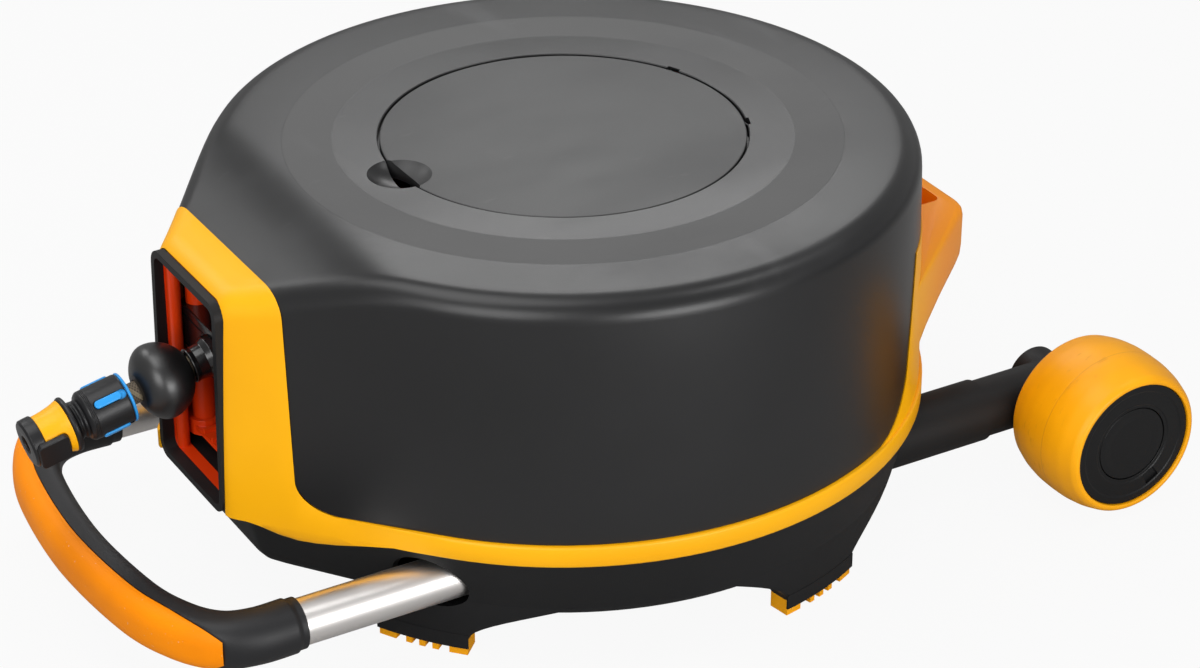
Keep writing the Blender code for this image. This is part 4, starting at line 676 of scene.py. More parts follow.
def grip_piece(name, first, section_of):
    """A skin along the grip's line through the sections that a function gives."""
    sections = []
    total = (GRIP_COUNT - 1) * GRIP_FINE
    for i in range(first * GRIP_FINE, total - first * GRIP_FINE + 1):
        from_end = min(i, total - i) / GRIP_FINE
        blend = smooth((from_end - 2) / 4)
        half_w = GRIP_SOCKET_R * (1 - blend) + GRIP_HALF_W * blend
        half_h = GRIP_SOCKET_R * (1 - blend) + GRIP_HALF_H * blend
        seam = half_w
        if from_end >= PAD_FIRST:
            depth = min(1.0, (from_end - PAD_FIRST) / 4)
            depth = math.sin(depth * math.pi / 2)
            seam = (half_w - 0.0020) * (1 - depth) + 0.15 * half_w * depth
        point, slope = grip_point(i / total)
        outward = Vector((-slope.y, slope.x, 0))
        profile = section_of(half_w, half_h, 2.0 + 0.7 * blend, seam, from_end)
        sections.append([point + outward * across + Vector((0, 0, TUBE_Z + up)) for across, up in profile])
    return skin(name, sections)


def core_section(half_w, half_h, squareness, seam, from_end):
    """The core's section, cut off flat where the pad lies on it."""
    lip = 0.0012 if from_end < 0.5 else 0.0
    turns = [2 * math.pi * i / 56 for i in range(56)]
    points = [superoval(half_w - lip, half_h - lip, squareness, a) for a in turns]
    return [(min(across, seam), up) for across, up in points]


def pad_section(half_w, half_h, squareness, seam, from_end):
    """The pad's outer skin, a hair proud of the core, with eased edges at the seam."""
    back = seam + 0.0004
    swell = min(1.0, (from_end - PAD_FIRST) * 1.5) * 0.0003
    reach = math.acos((back / half_w) ** (squareness / 2))
    outer = []
    for i in range(33):
        a = reach * (i / 16 - 1)
        across, up = superoval(half_w + swell, half_h + swell, squareness, a)
        edge = max(0.0, (abs(a) / max(reach, 1e-6) - 0.86) / 0.14)  # the last seventh of the way
        outer.append((across, up * (1 - 0.05 * edge**2)))
    top = outer[-1][1]
    return outer + [(back, top * share) for share in (0.6, 0.2, -0.2, -0.6)]


def make_grip():
    core = grip_piece("handle_grip", 0, core_section)
    for side in (-1, 1):
        where = (0, side * TUBE_Y, TUBE_Z)
        cut(core, rod("grip_bore", TUBE_R + GAP, TUBE_FRONT - GAP, -0.242, where, "X", 96))
    fitted(core, "handle", GRIP_BLACK, "charcoal", "handle_grip", sharp=55)
    pad = grip_piece("grip_pad", PAD_FIRST, pad_section)
    fitted(pad, "handle", PAD_RUBBER, "amber_rubber", "grip_pad", sharp=50)


make_tubes()
make_grip()


# Wheels: two black arms push into the base's sleeves and end in tees. Each carries a
# steel axle, a black hub with a snapped-in cap and a broad amber tyre with a crowned
# tread. The tyre's mould leaves a faint parting line round it.
WHEEL_X = 0.316
WHEEL_OUT = 0.246
TYRE_HALF = 0.0375
WHEEL_MID = WHEEL_OUT - TYRE_HALF
BEAD_R = 0.0469
CROWN = (  # radius, and share of the tyre's half width
    (BEAD_R, 0.985), (0.0498, 0.985), (0.0525, 0.90), (0.0560, 0.60), (0.0577, 0.30), (0.0580, 0.0),
)
HUB_R = 0.0465
HUB_FACE = WHEEL_OUT - 0.0025
RIM_BACK = WHEEL_OUT - 0.0085
BARREL_R = HUB_R - 0.004
CAP_TOP = WHEEL_OUT - 0.004
ARM_END = 0.150
TEE_R = 0.0205
TEE_END = 0.125
TEE_OUTER = WHEEL_MID - 0.014
AXLE_BORE_R = 0.0064
RUN = 0.0012  # beside a turning piece


def tyre_rubber():
    finish = rubber("tyre_rubber", (252, 170, 2), 0.44)
    x, y, z = finish.parts(finish.place())
    across = y.size() - WHEEL_MID
    seam = 1 - (across - 0.006).size().step(0.0002, 0.0006)
    away = ((x - (WHEEL_X + DRUM_X)) * (x - (WHEEL_X + DRUM_X)) + (z - TUBE_Z) * (z - TUBE_Z)) ** 0.5
    scuffs = finish.noise(90.0, 4.0, (1.0, 2.5, 1.0)).step(0.60, 0.74) * away.step(0.0555, 0.0575)
    cloud = finish.noise(14.0, 3.0)
    tone = finish.blend(cloud.step(0.3, 0.7), finish.shade(0.90), finish.shade(1.06))
    finish.set("Base Color", finish.blend(scuffs * 0.22 + seam * 0.25, tone, (0.42, 0.15, 0.02)))
    finish.set("Roughness", 0.42 + scuffs * 0.14 + (cloud - 0.5) * 0.1)
    finish.bump(finish.noise(1300.0, 2.0) * 0.6 - seam * 1.5 + scuffs * 0.4, 0.25, 0.0003)
    return finish


TYRE_RUBBER = tyre_rubber().material
HUB_BLACK = moulded("hub_black_plastic", (11, 11, 12), 0.40, 1.0, 0.16, 0.0, 0.1, 0.3).material


def about_axle(name, side, profile, edge=0.0004, ring=True, steps=120):
    """A profile of (radius, distance from the middle plane), turned about a wheel's axle."""
    return turned(name, [(r, side * d) for r, d in profile], (WHEEL_X, 0, TUBE_Z), "Y", steps, ring, edge)


def make_arm(side, name):
    shoulder = SLEEVE_END + GAP
    arm_line = [(0, WHEEL_X), (TEE_R, WHEEL_X), (TEE_R, shoulder)]
    arm_line += [(ARM_R, shoulder), (ARM_R, ARM_END), (0, ARM_END)]
    arm = turned(f"wheel_arm_{name}", arm_line, (0, side * TUBE_Y, TUBE_Z), "X", 96, False, 0.0008)
    tee_line = [(0, TEE_OUTER), (TEE_R, TEE_OUTER), (TEE_R, TEE_END), (0, TEE_END)]
    join(arm, about_axle("tee", side, tee_line, 0.0016, False))
    bore_end = TEE_END + 0.02
    bore_line = [(0, 0.2), (AXLE_BORE_R, 0.2), (AXLE_BORE_R, bore_end), (0, bore_end)]
    cut(arm, about_axle("axle_bore", side, bore_line, 0, False))
    rounded_off(arm, 0.0014)
    fitted(arm, "base", ERODED_BLACK, "charcoal", f"wheel_arm_{name}")
    softened(f"wheel_axle_{name}", TURNED_STEEL)


def make_hub(side, name):
    """The hub, hollow from behind, with a raised band on its face and a mould's notch in that."""
    inner_end = WHEEL_MID - TYRE_HALF + 0.006
    hub_line = [
        (HUB_R, HUB_FACE), (HUB_R, RIM_BACK), (BARREL_R, RIM_BACK), (BARREL_R, inner_end),
        (BARREL_R - 0.004, inner_end), (BARREL_R - 0.004, WHEEL_MID + 0.010), (0.0114, WHEEL_MID + 0.010),
        (0.0114, TEE_OUTER + RUN), (AXLE_BORE_R, TEE_OUTER + RUN), (AXLE_BORE_R, WHEEL_MID + 0.016),
        (0.0280, WHEEL_MID + 0.016), (0.0280, HUB_FACE - 0.0012), (0.0302, HUB_FACE - 0.0012),
        (0.0310, HUB_FACE - 0.0006), (0.0405, HUB_FACE - 0.0006), (0.0415, HUB_FACE),
    ]
    hub = about_axle(f"wheel_hub_{name}", side, hub_line, 0.0005)
    notch = [(-0.0400, -0.0062), (-0.0400, 0.0052), (-0.0306, 0.0042), (-0.0306, -0.0052)]
    turn = Matrix.Rotation(math.radians(120), 2)
    outline = [turn @ Vector(p) for p in notch]
    low, high = sorted((side * (HUB_FACE - 0.0022), side * (HUB_FACE + 0.01)))
    cut(hub, skin("notch", [[(WHEEL_X + x, y, TUBE_Z + z) for x, z in outline] for y in (low, high)]))
    rounded_off(hub, 0.0003)
    fitted(hub, f"wheel_{name}", HUB_BLACK, "charcoal", f"wheel_hub_{name}")


def make_tyre(side, name):
    tyre_line = [(r, WHEEL_MID + TYRE_HALF * share) for r, share in CROWN]
    tyre_line += [(r, WHEEL_MID - TYRE_HALF * share) for r, share in reversed(CROWN[:-1])]
    seat = BARREL_R + GAP
    tyre_line += [(seat, WHEEL_MID - TYRE_HALF * 0.985), (seat, RIM_BACK - GAP), (BEAD_R, RIM_BACK - GAP)]
    tyre = about_axle(f"tyre_{name}", side, tyre_line, 0.0030, True, 160)
    fitted(tyre, f"wheel_{name}", TYRE_RUBBER, "amber_rubber", f"tyre_{name}")


def make_cap(side, name):
    cap_line = [(0, CAP_TOP - 0.0004), (0.0180, CAP_TOP - 0.0004), (0.0235, CAP_TOP), (0.0274, CAP_TOP)]
    cap_line += [(0.0276, CAP_TOP - 0.0055), (0, CAP_TOP - 0.0055)]
    cap = about_axle(f"hub_cap_{name}", side, cap_line, 0.0006, False)
    fitted(cap, f"wheel_{name}", HUB_BLACK, "charcoal", f"hub_cap_{name}")


for side, name in ((-1, "near"), (1, "far")):
    make_arm(side, name)
    make_hub(side, name)
    make_tyre(side, name)
    make_cap(side, name)


# Water axle, bushes and seal, pins and spindle, and the gears under the drum: turned
# steel and brass, and moulded black gears. The shell hides nearly all of them, so they
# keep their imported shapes.
def brass():
    finish = Finish("turned_brass", (214, 178, 104), 0.30, metallic=1.0)
    cloud = finish.noise(40.0, 3.0)
    finish.set("Base Color", finish.blend(cloud, finish.shade(0.8), finish.shade(1.1)))
    finish.set("Roughness", 0.24 + cloud * 0.16)
    finish.bump(finish.noise(1500.0, 2.0), 0.08, 0.0002)
    return finish


TURNED_BRASS = brass().material
SEAL_RUBBER = rubber("seal_rubber", (26, 26, 26), 0.7).material
BLACKENED_STEEL = steel("blackened_steel", (38, 38, 40)).material
for node in ("water_axle", "idler_pin", "cross_spindle", "crank_screw", "crank_pin"):
    softened(node, TURNED_STEEL)
for node in ("lid_pin_near", "lid_pin_far"):
    softened(node, BLACKENED_STEEL)
for node in ("hub_bush_lower", "hub_bush_upper", "drum_water_pipe"):
    softened(node, TURNED_BRASS)
softened("water_seal", SEAL_RUBBER)
for node in ("drum_gear", "idler_gear", "spindle_gear"):
    softened(node, PLAIN_BLACK)


# Drum: an orange-red moulded core closed by a plate above, with two flanges on it.
# Each flange has ribs in rings and five round holes, so that it stays light and flat.
WEB_TOP = 0.2040
HUB_LOW = 0.0994
DRUM_BOTTOM = 0.1092
DRUM_TOP = 0.2262
FLANGE = 0.0026
FLANGE_R = 0.2140
CORE_R = 0.1130
ORANGE_RED = moulded("orange_red_plastic", (232, 62, 6), 0.34, 1.0, 0.14, 0.15).material


def make_drum():
    low, high = DRUM_BOTTOM - FLANGE, DRUM_TOP + FLANGE
    inside, hub, bore = CORE_R - WALL, 0.0230, 0.0150
    core_line = [
        (0, WEB_TOP), (inside, WEB_TOP), (inside, high), (CORE_R, high), (CORE_R, low), (inside, low),
        (inside, WEB_TOP - WALL), (hub, WEB_TOP - WALL), (hub, HUB_LOW), (bore, HUB_LOW),
        (bore, WEB_TOP - 0.016), (0, WEB_TOP - 0.016),
    ]
    core = turned("drum_core", core_line, steps=120, edge=0.0006)
    cut(core, rod("screw_hole", 0.0029, WEB_TOP - 0.011, WEB_TOP + 0.01, steps=24))
    cut(core, rod("water_port", 0.0075, 0.0, 0.14, (0, 0, 0.150), "X", 32))
    fitted(core, "drum", ORANGE_RED, "orange_red", "drum_core")
    for name, bottom in (("drum_flange_bottom", low), ("drum_flange_top", DRUM_TOP)):
        top = bottom + FLANGE
        floor = top - 0.0006
        grooves = []
        for r in (0.196, 0.180, 0.140, 0.124):
            grooves += [(r + 0.0012, top), (r + 0.0008, floor), (r - 0.0008, floor), (r - 0.0012, top)]
        profile = [(FLANGE_R, top), (FLANGE_R, bottom), (CORE_R + GAP, bottom), (CORE_R + GAP, top)]
        disc = turned(name, profile + list(reversed(grooves)), steps=180, ring=True, edge=0.0003)
        holes = []
        for i in range(5):
            at = (*polar(0.168, math.radians(72 * i + 30)), 0)
            holes.append(rod(f"hole_{i}", 0.016, bottom - 0.01, top + 0.01, at, steps=48))
        cut(disc, *holes)
        fitted(disc, "drum", ORANGE_RED, "orange_red", name)


make_drum()


# Hose: a brown-grey rubber hose with a woven cover. It lies on the drum in an outer
# layer of turns over a pack of inner ones, whose edges show as ridges.
HOSE_R = 0.0074
HOSE_OUTER_R = 0.2045  # outside of the outer layer
HOSE_LAYER_R = HOSE_OUTER_R - HOSE_R
FLANGE_GAP = 0.0006  # between the turns and a flange
WIND_LOW = DRUM_BOTTOM + HOSE_R + FLANGE_GAP
WIND_HIGH = DRUM_TOP - HOSE_R - FLANGE_GAP
HOSE_TURNS = 6.5
TURN_STEPS = 96
INNER_LAYER_R = 0.1862  # outside of the inner turns
INNER_ROWS = 8
YARNS_ROUND, YARNS_A_METRE = 14, 460


def woven_hose():
    """Two sets of slanted yarns, with painted shade in the hollows between them, and every few yarns lighter.
    """
    finish = Finish("woven_hose", (104, 90, 72), 0.62)
    around, along, _ = finish.parts(finish.wrapped())
    turns, pitch = 2 * math.pi * YARNS_ROUND, 2 * math.pi * YARNS_A_METRE
    left = (around * turns + along * pitch).sine()
    right = (around * turns - along * pitch).sine()
    yarn = left.larger(right) * 0.5 + 0.5
    marker = (around * (2 * math.pi * 2) + along * (pitch / 7)).sine().step(0.72, 0.88)
    grime = finish.noise(24.0, 3.0)
    # Painted shade: the hollows between the yarns, where the bump is lowest, are painted dark.
    tone = finish.blend(yarn.step(0.25, 0.85), finish.shade(0.32), finish.shade(1.15))
    tone = finish.blend(marker * 0.55, tone, srgb(176, 160, 128))
    finish.set("Base Color", finish.blend(grime.step(0.5, 0.8) * 0.4, tone, srgb(60, 52, 44)))
    finish.set("Roughness", 0.70 - yarn * 0.14 + grime * 0.06)
    finish.bump(yarn, 0.5, 0.0005)
    return finish


WOVEN_HOSE = woven_hose().material


def swept(name, points, radius, sides=20):
    """A round hose along a line of points, with UVs round it and along it in metres."""
    bm = bmesh.new()
    uv = bm.loops.layers.uv.new("round_and_along")
    rings, length, lengths = [], 0.0, []
    up = Vector((0, 0, 1))
    for i, point in enumerate(points):
        heading = (points[min(i + 1, len(points) - 1)] - points[max(i - 1, 0)]).normalized()
        side = heading.cross(up).normalized()
        top = side.cross(heading)
        if i:
            length += (point - points[i - 1]).length
        lengths.append(length)
        turns = [2 * math.pi * k / sides for k in range(sides)]
        rings.append([bm.verts.new(point + radius * (math.cos(a) * side + math.sin(a) * top)) for a in turns])
    for i in range(len(points) - 1):
        for k in range(sides):
            j = (k + 1) % sides
            face = bm.faces.new((rings[i][k], rings[i][j], rings[i + 1][j], rings[i + 1][k]))
            for loop, (u, v) in zip(face.loops, ((k, i), (k + 1, i), (k + 1, i + 1), (k, i + 1))):
                loop[uv].uv = (u / sides, lengths[v])
    bm.faces.new(list(reversed(rings[0])))
    bm.faces.new(rings[-1])
    return solid(name, bm)


def make_winding():
    steps = round(HOSE_TURNS * TURN_STEPS)
    points = []
    for i in range(steps + 1):
        height = WIND_LOW + (WIND_HIGH - WIND_LOW) * i / steps
        points.append(Vector((*polar(HOSE_LAYER_R, 2 * math.pi * i / TURN_STEPS), height)))
    outer = swept("hose_outer_turns", points, HOSE_R)
    fitted(outer, "drum", WOVEN_HOSE, "hose", "hose_outer_turns")
    ridges = []
    low, high = DRUM_BOTTOM + FLANGE_GAP, DRUM_TOP - FLANGE_GAP
    pitch = (high - low) / INNER_ROWS
    for k in range(INNER_ROWS):
        for share in (0.02, 0.12, 0.28, 0.5, 0.72, 0.88, 0.98):
            bulge = math.sqrt(max(0.0, 1 - (2 * share - 1) ** 2))
            ridges.append((INNER_LAYER_R - pitch / 2 * (1 - bulge), low + pitch * (k + share)))
    profile = list(reversed(ridges)) + [(CORE_R + 0.0006, low), (CORE_R + 0.0006, high)]
    inner = turned("hose_inner_turns", profile, steps=144, ring=True)
    fitted(inner, "drum", WOVEN_HOSE, "hose", "hose_inner_turns")


make_winding()


# Crank: a black arm screwed to the drum's hub, with an amber knob that turns on a
# steel pin. It stands in a black well under the lid, out of the weather.
KNOB_REACH = 0.078
KNOB_TURN = 128  # degrees
KNOB_AT = (*polar(KNOB_REACH, math.radians(KNOB_TURN)), 0)
CRANK_LOW, CRANK_TOP = 0.2115, 0.2190
LID_R = 0.1246
LID_TOP = BODY_TOP - 0.0006
LID_BOTTOM = LID_TOP - 0.0044
LEDGE_TOP = LID_BOTTOM - GAP
LEDGE_BOTTOM = LEDGE_TOP - WALL
RECESS_R = 0.1260
WELL_R, WELL_INSIDE_R = 0.1048, 0.1026
WELL_BOTTOM, WELL_FLOOR = 0.2053, 0.2075
DISH_AT = (-LID_R, 0, 0)


def amber_plastic():
    """Amber, deeper orange toward the back, round the carry handle."""
    finish = moulded("amber_plastic", (254, 178, 0), 0.40, 1.1, 0.14, 0.0, 0.06, 0.3)
    rear_share = finish.parts(finish.place())[0].step(0.17, 0.27)
    tone = Socket(finish, finish.surface.inputs["Base Color"].links[0].from_socket)
    # The back of the trim, from x 0.17 to 0.27, is blended toward a deeper orange.
    finish.set("Base Color", finish.blend(rear_share * 0.75, tone, srgb(250, 142, 4)))
    return finish


AMBER = amber_plastic().material


def hinge_room(low, high):
    """Where the lid's rear edge swings down: the part of its recess behind an x."""
    start_x = 0.110
    half = math.acos(start_x / RECESS_R)
    return slab("hinge_room", [polar(RECESS_R, a) for a in evenly(-half, half, 40)], low, high)


def arc(x, y, radius, start, end, count):
    """Points of a circle from one angle in degrees to another."""
    turns = [math.radians(a) for a in evenly(start, end, count)]
    return [(x + radius * math.cos(a), y + radius * math.sin(a)) for a in turns]


def make_well():
    top, wall_top = LEDGE_BOTTOM - GAP, LEDGE_TOP - 0.001
    profile = [
        (0.1290, top), (0.1290, top - 0.0022), (WELL_R, top - 0.0022), (WELL_R, WELL_BOTTOM),
        (0.0242, WELL_BOTTOM), (0.0242, WELL_FLOOR), (0.0400, WELL_FLOOR), (0.0410, 0.2082), (0.0430, 0.2082),
        (0.0440, WELL_FLOOR), (0.0920, WELL_FLOOR), (WELL_INSIDE_R, 0.2110), (WELL_INSIDE_R, wall_top),
        (WELL_R, wall_top), (WELL_R, top),
    ]
    well = turned("crank_well", profile, steps=144, ring=True, edge=0.0005)
    cut(well, rod("dish_room", 0.0279, 0.255, 0.275, DISH_AT), hinge_room(0.2575, 0.275))
    fitted(well, "base", ERODED_BLACK, "charcoal", "crank_well")


def make_crank():
    outline = arc(0, 0, 0.0195, KNOB_TURN + 90, KNOB_TURN + 270, 24)
    outline += arc(*KNOB_AT[:2], 0.0125, KNOB_TURN - 90, KNOB_TURN + 90, 24)
    arm = slab("crank_arm", outline, CRANK_LOW, CRANK_TOP)
    hub_line = [(0, 0.222), (0.0175, 0.222), (0.0175, 0.2044), (0, 0.2044)]
    join(arm, turned("hub", hub_line, steps=64, edge=0.0012))
    cut(
        arm,
        rod("screw_hole", 0.0029, 0.19, 0.3, steps=32),
        rod("screw_seat", 0.0060, CRANK_TOP, 0.3, steps=32),
        rod("pin_hole", 0.0034, CRANK_LOW + 0.002, 0.3, KNOB_AT, steps=32),
    )
    rounded_off(arm, 0.0010)
    fitted(arm, "drum", PLAIN_BLACK, "charcoal", "crank_arm")
    knob_line = [
        (0.0094, 0.2610), (0.0118, 0.2600), (0.0125, 0.2560), (0.0120, 0.2450), (0.0104, 0.2300),
        (0.0106, 0.2240), (0.0116, 0.2204), (0.0105, 0.2194), (0.0034, 0.2194), (0.0034, 0.2610),
    ]
    knob = turned("crank_knob", knob_line, KNOB_AT, steps=72, ring=True, edge=0.0016)
    fitted(knob, "knob", AMBER, "amber", "crank_knob")


make_well()
make_crank()


# Cover and lid: black mouldings with a fine grain. The roof round the lid is polished
# in one ring and dull in the next, and falls in a soft S to the outlet frame. The lid
# drops into a recess, with a scooped dish over its edge for a fingertip.
SHELL_INSET = 0.0028
RIM_FILLET = 0.016
WALL_LEAN, NOSE_LEAN, FLANK_LEAN = 0.004, 0.003, 0.007  # inward, from the ring to the roof
NOSE_DROP = 0.030
NOSE_START = 0.188
FRAME_BACK = 0.252
REAR_SEAM = 0.160
PANEL_TOP = 0.214
SEAM = 0.0005  # between the cover and the trim
RING_TOP = 0.1010
LEDGE_R = 0.1060
HINGE_X = 0.116
HINGE_Z = LID_TOP - 0.0022
PIN_Y = math.sqrt(LID_R**2 - HINGE_X**2)
EAR_IN, EAR_OUT = 0.1250, 0.1282  # where the lid's edge swings beside its pins
EAR_TURNS = evenly(20.3, 24.9, 8)
DISH_R, DISH_DEEP = 0.022, 0.0095
DISH_LOW = BODY_TOP - DISH_DEEP - 0.004
CUP_R = 0.0255  # of the wall under the dish
POLISHED_R, DULL_R = 0.1569, 0.1903  # outer edges of the two rings on the roof


def roof(x, drop):
    """The roof's height at an x: level, and falling in a soft S toward the outlet."""
    return BODY_TOP - drop - NOSE_DROP * smooth((-x - NOSE_START) / (SNOUT_REACH - NOSE_START))


def rise(height):
    """How far up the wall a height is, from 0 at the ring to 1 at the roof."""
    return (height - RING_TOP) / (BODY_TOP - RING_TOP)


def wall_radius(angle, height, inward):
    up = rise(height)
    return nose_radius(
        angle, BODY_R - WALL_LEAN * up - inward, SNOUT_REACH - NOSE_LEAN * up - inward,
        SNOUT_HALF - FLANK_LEAN * up - inward / 2,
    )


def body_skin(low, inward, roof_end):
    """Sections from the foot of the wall, over the rim and in along the roof to a circle."""
    drop = inward - SHELL_INSET
    fillet = RIM_FILLET - drop
    sections = []
    for share in (0.0, 0.25, 0.5, 0.75, 1.0):
        sections.append(
            ring_at(
                lambda a: wall_radius(a, low + (BODY_TOP - low) * share, inward),
                lambda x: low + (roof(x, drop) - fillet - low) * share,
            )
        )
    for k in range(1, 10):
        back, up = fillet * (1 - math.cos(k * math.pi / 18)), fillet * math.sin(k * math.pi / 18)
        sections.append(
            ring_at(lambda a: wall_radius(a, BODY_TOP, inward) - back, lambda x: roof(x, drop) - fillet + up)
        )
    for share in (0.04, 0.10, 0.18, 0.27, 0.36, 0.45, 0.54, 0.63, 0.72, 0.82, 0.92, 1.0):
        sections.append(
            ring_at(
                lambda a: (1 - share) * (wall_radius(a, BODY_TOP, inward) - fillet) + share * roof_end,
                lambda x: roof(x, drop),
            )
        )
    return sections


def seam_tool(shrink):
    """The black cover's side view as a thick slab, smaller or larger by half the seam's gap."""
    low, front, rear = RING_TOP + shrink, -FRAME_BACK + shrink, REAR_SEAM - shrink
    high, end = BODY_TOP + 0.02, BODY_R + 0.02
    front_corner, rear_corner = 0.022, 0.045
    outline = [(front, high)]
    outline += arc(front + front_corner, low + front_corner, front_corner, 180, 270, 16)
    outline += arc(rear - rear_corner, low + rear_corner, rear_corner, 270, 350, 20)
    outline += [(rear + 0.014, PANEL_TOP + shrink), (end, PANEL_TOP + shrink), (end, high)]
    return skin("seam_tool", [[(x, y, z) for x, z in outline] for y in (-0.3, 0.3)])


def dish_ball():
    """The ball that scoops the finger dish out of the cover and the lid."""
    ball_r = (DISH_R**2 + DISH_DEEP**2) / (2 * DISH_DEEP)
    profile = [(ball_r * math.sin(math.pi * i / 96), ball_r * math.cos(math.pi * i / 96)) for i in range(97)]
    profile[0], profile[-1] = (0, ball_r), (0, -ball_r)
    return turned("dish_ball", profile, (-LID_R, 0, BODY_TOP - DISH_DEEP + ball_r), steps=128)


def cover_plastic():
    """Fine-grained black; the roof has a dull ring between glossier ones, painted lighter grey as a sheen,
    with a fainter painted sheen on the lid's face, and swirled scuffs.
    """
    finish = Finish("cover_black_plastic", (23, 23, 24), 0.42, shine=0.5)
    x, y, z = finish.parts(finish.place())
    away = ((x - DRUM_X) * (x - DRUM_X) + y * y) ** 0.5
    on_roof = z.step(0.262, 0.268)
    past_polished = away.step(POLISHED_R - 0.0004, POLISHED_R + 0.0004)
    past_dull = away.step(DULL_R - 0.0006, DULL_R + 0.0006)
    dull_sheen_ring = on_roof * (past_polished - past_dull)
    lid_sheen_face = on_roof * (1 - away.step(LID_R - 0.0002, LID_R + 0.0002))
    cloud = finish.noise(6.0, 4.0)
    grain = finish.noise(1500.0, 2.0)
    scuff = finish.noise(26.0, 5.0, (1.0, 0.25, 1.0)).step(0.60, 0.80)
    rub = finish.noise(110.0, 3.0, (0.3, 1.0, 1.0)).step(0.68, 0.76)
    smear = finish.noise(12.0, 5.0, (0.5, 1.0, 1.0)).step(0.45, 0.75)
    tone = finish.blend(cloud.step(0.3, 0.7), finish.shade(0.90), finish.shade(1.12))
    # Painted sheen: the dull ring, and more faintly the lid's face, are painted a lighter grey than their
    # black; the ring's extra roughness is real.
    tone = finish.blend(dull_sheen_ring * 0.70 + lid_sheen_face * 0.20, tone, srgb(90, 90, 90))
    tone = finish.blend((scuff * 0.5 + rub * 0.3 + smear * 0.25) * on_roof * 0.30, tone, srgb(105, 105, 107))
    finish.set("Base Color", tone)
    dulled = dull_sheen_ring * 0.28 + lid_sheen_face * 0.12 - (1 - past_polished) * on_roof * 0.03
    uneven = (cloud - 0.5) * 0.16 + (grain - 0.5) * 0.06 + smear * on_roof * 0.08
    finish.set("Roughness", 0.34 + dulled + uneven)
    finish.bump(grain + scuff * 0.3 + dull_sheen_ring * 0.8, 0.24, 0.0002)
    return finish


COVER_BLACK = cover_plastic().material


def make_cover():
    foot = RING_TOP + GAP
    outer = body_skin(foot, SHELL_INSET, RECESS_R)
    inner = body_skin(foot, SHELL_INSET + WALL, RECESS_R + WALL)
    lip_line = [(RECESS_R, LID_TOP), (RECESS_R, LEDGE_TOP), (LEDGE_R, LEDGE_TOP), (LEDGE_R, LEDGE_BOTTOM)]
    lip_line += [(RECESS_R + WALL, LEDGE_BOTTOM)]
    lip = [flat_ring(lambda a: radius, height) for radius, height in lip_line]
    outer[-1] = flat_ring(lambda a: RECESS_R + 0.0006, BODY_TOP)
    cover = skin("top_cover", outer + lip + inner[::-1], True)

    def lid_side():
        return rod("lid_side", RECESS_R, DISH_LOW - 0.01, BODY_TOP + 0.01, steps=160)

    cup = rod("dish_cup", CUP_R, DISH_LOW, BODY_TOP - 0.0015, DISH_AT)
    cup_room = rod("dish_cup_room", CUP_R + 0.0012, DISH_LOW - 0.01, LEDGE_TOP + 0.001, DISH_AT)
    join(cover, cut(cup, lid_side()))
    cut(cover, keep(cup_room, lid_side()), dish_ball(), hinge_room(DISH_LOW, LEDGE_TOP + 0.0005))
    for side in (-1, 1):
        where = (HINGE_X - 0.001, side * (PIN_Y + 0.0015), 0)
        pocket = rod("pocket", 0.0055, HINGE_Z - 0.006, BODY_TOP - 0.0010, where)
        turns = [side * math.radians(a) for a in EAR_TURNS]
        plan = [polar(EAR_IN, a) for a in turns] + [polar(EAR_OUT, a) for a in reversed(turns)]
        cut(cover, pocket, slab("ear_room", plan, HINGE_Z - 0.002, BODY_TOP + 0.01))
    keep(cover, seam_tool(SEAM / 2))
    rounded_off(cover, 0.0005, 50)
    fitted(cover, "base", COVER_BLACK, "charcoal", "top_cover", sharp=21, even=False)


def make_lid():
    lid_line = [(0, LID_TOP), (LID_R, LID_TOP), (LID_R, LID_BOTTOM), (0, LID_BOTTOM)]
    lid = turned("lid", lid_line, steps=200, edge=0.0010)
    cup = rod("lid_cup", CUP_R, DISH_LOW, LID_BOTTOM + 0.001, DISH_AT)
    keep(cup, rod("lid_inside", LID_R, DISH_LOW - 0.01, BODY_TOP, steps=160))
    join(lid, cup)
    finger_gap = rod("finger_gap", 0.038, DISH_LOW - 0.01, BODY_TOP, (-LID_R - 0.0276, 0, 0), steps=160)
    cut(lid, dish_ball(), finger_gap)
    rounded_off(lid, 0.0005, 50)
    fitted(lid, "lid", COVER_BLACK, "charcoal", "lid", sharp=50)


make_cover()
make_lid()


# Trim: one amber moulding, with the frame round the hose outlet, a proud ring round
# the foot of the shell, the panel behind, and a flared carry handle that grows out of
# that panel. Its corners are rounded, and it has a satin surface.
OPEN_HALF, OPEN_LOW, OPEN_HIGH = 0.0450, 0.0900, 0.2360
BEZEL_WALL = 0.0055
RING_BAND = (  # how far in from the wall, and height above the ring's foot
    (0.0022, 0.0), (0.0008, 0.0004), (0.0, 0.0016), (0.0, 0.0138), (0.0004, 0.0149), (0.0014, 0.0154),
)
RING_SUNK = 0.0030
TRIM_PROUD = 0.0020
TRIM_INSIDE = SHELL_INSET + 0.0045
CARRY_LEVELS = (  # height, and reach and half width of the flare there
    (0.0985, 0.2380, 0.0880), (0.104, 0.2400, 0.0870), (0.110, 0.2440, 0.0860), (0.116, 0.2500, 0.0848),
    (0.122, 0.2572, 0.0836), (0.128, 0.2650, 0.0824), (0.134, 0.2722, 0.0814), (0.140, 0.2780, 0.0804),
    (0.146, 0.2812, 0.0800), (0.153, 0.2820, 0.0800), (0.176, 0.2820, 0.0800), (0.180, 0.2812, 0.0795),
    (0.1822, 0.2796, 0.0784), (0.183, 0.2775, 0.0768),
)
CARRY_BAR_IN = 0.282 - 0.0115  # inner face of the bar that a hand closes round
CARRY_HALF = 0.066  # half width of the hand's slot
CARRY_BODY = BODY_R - 0.0025


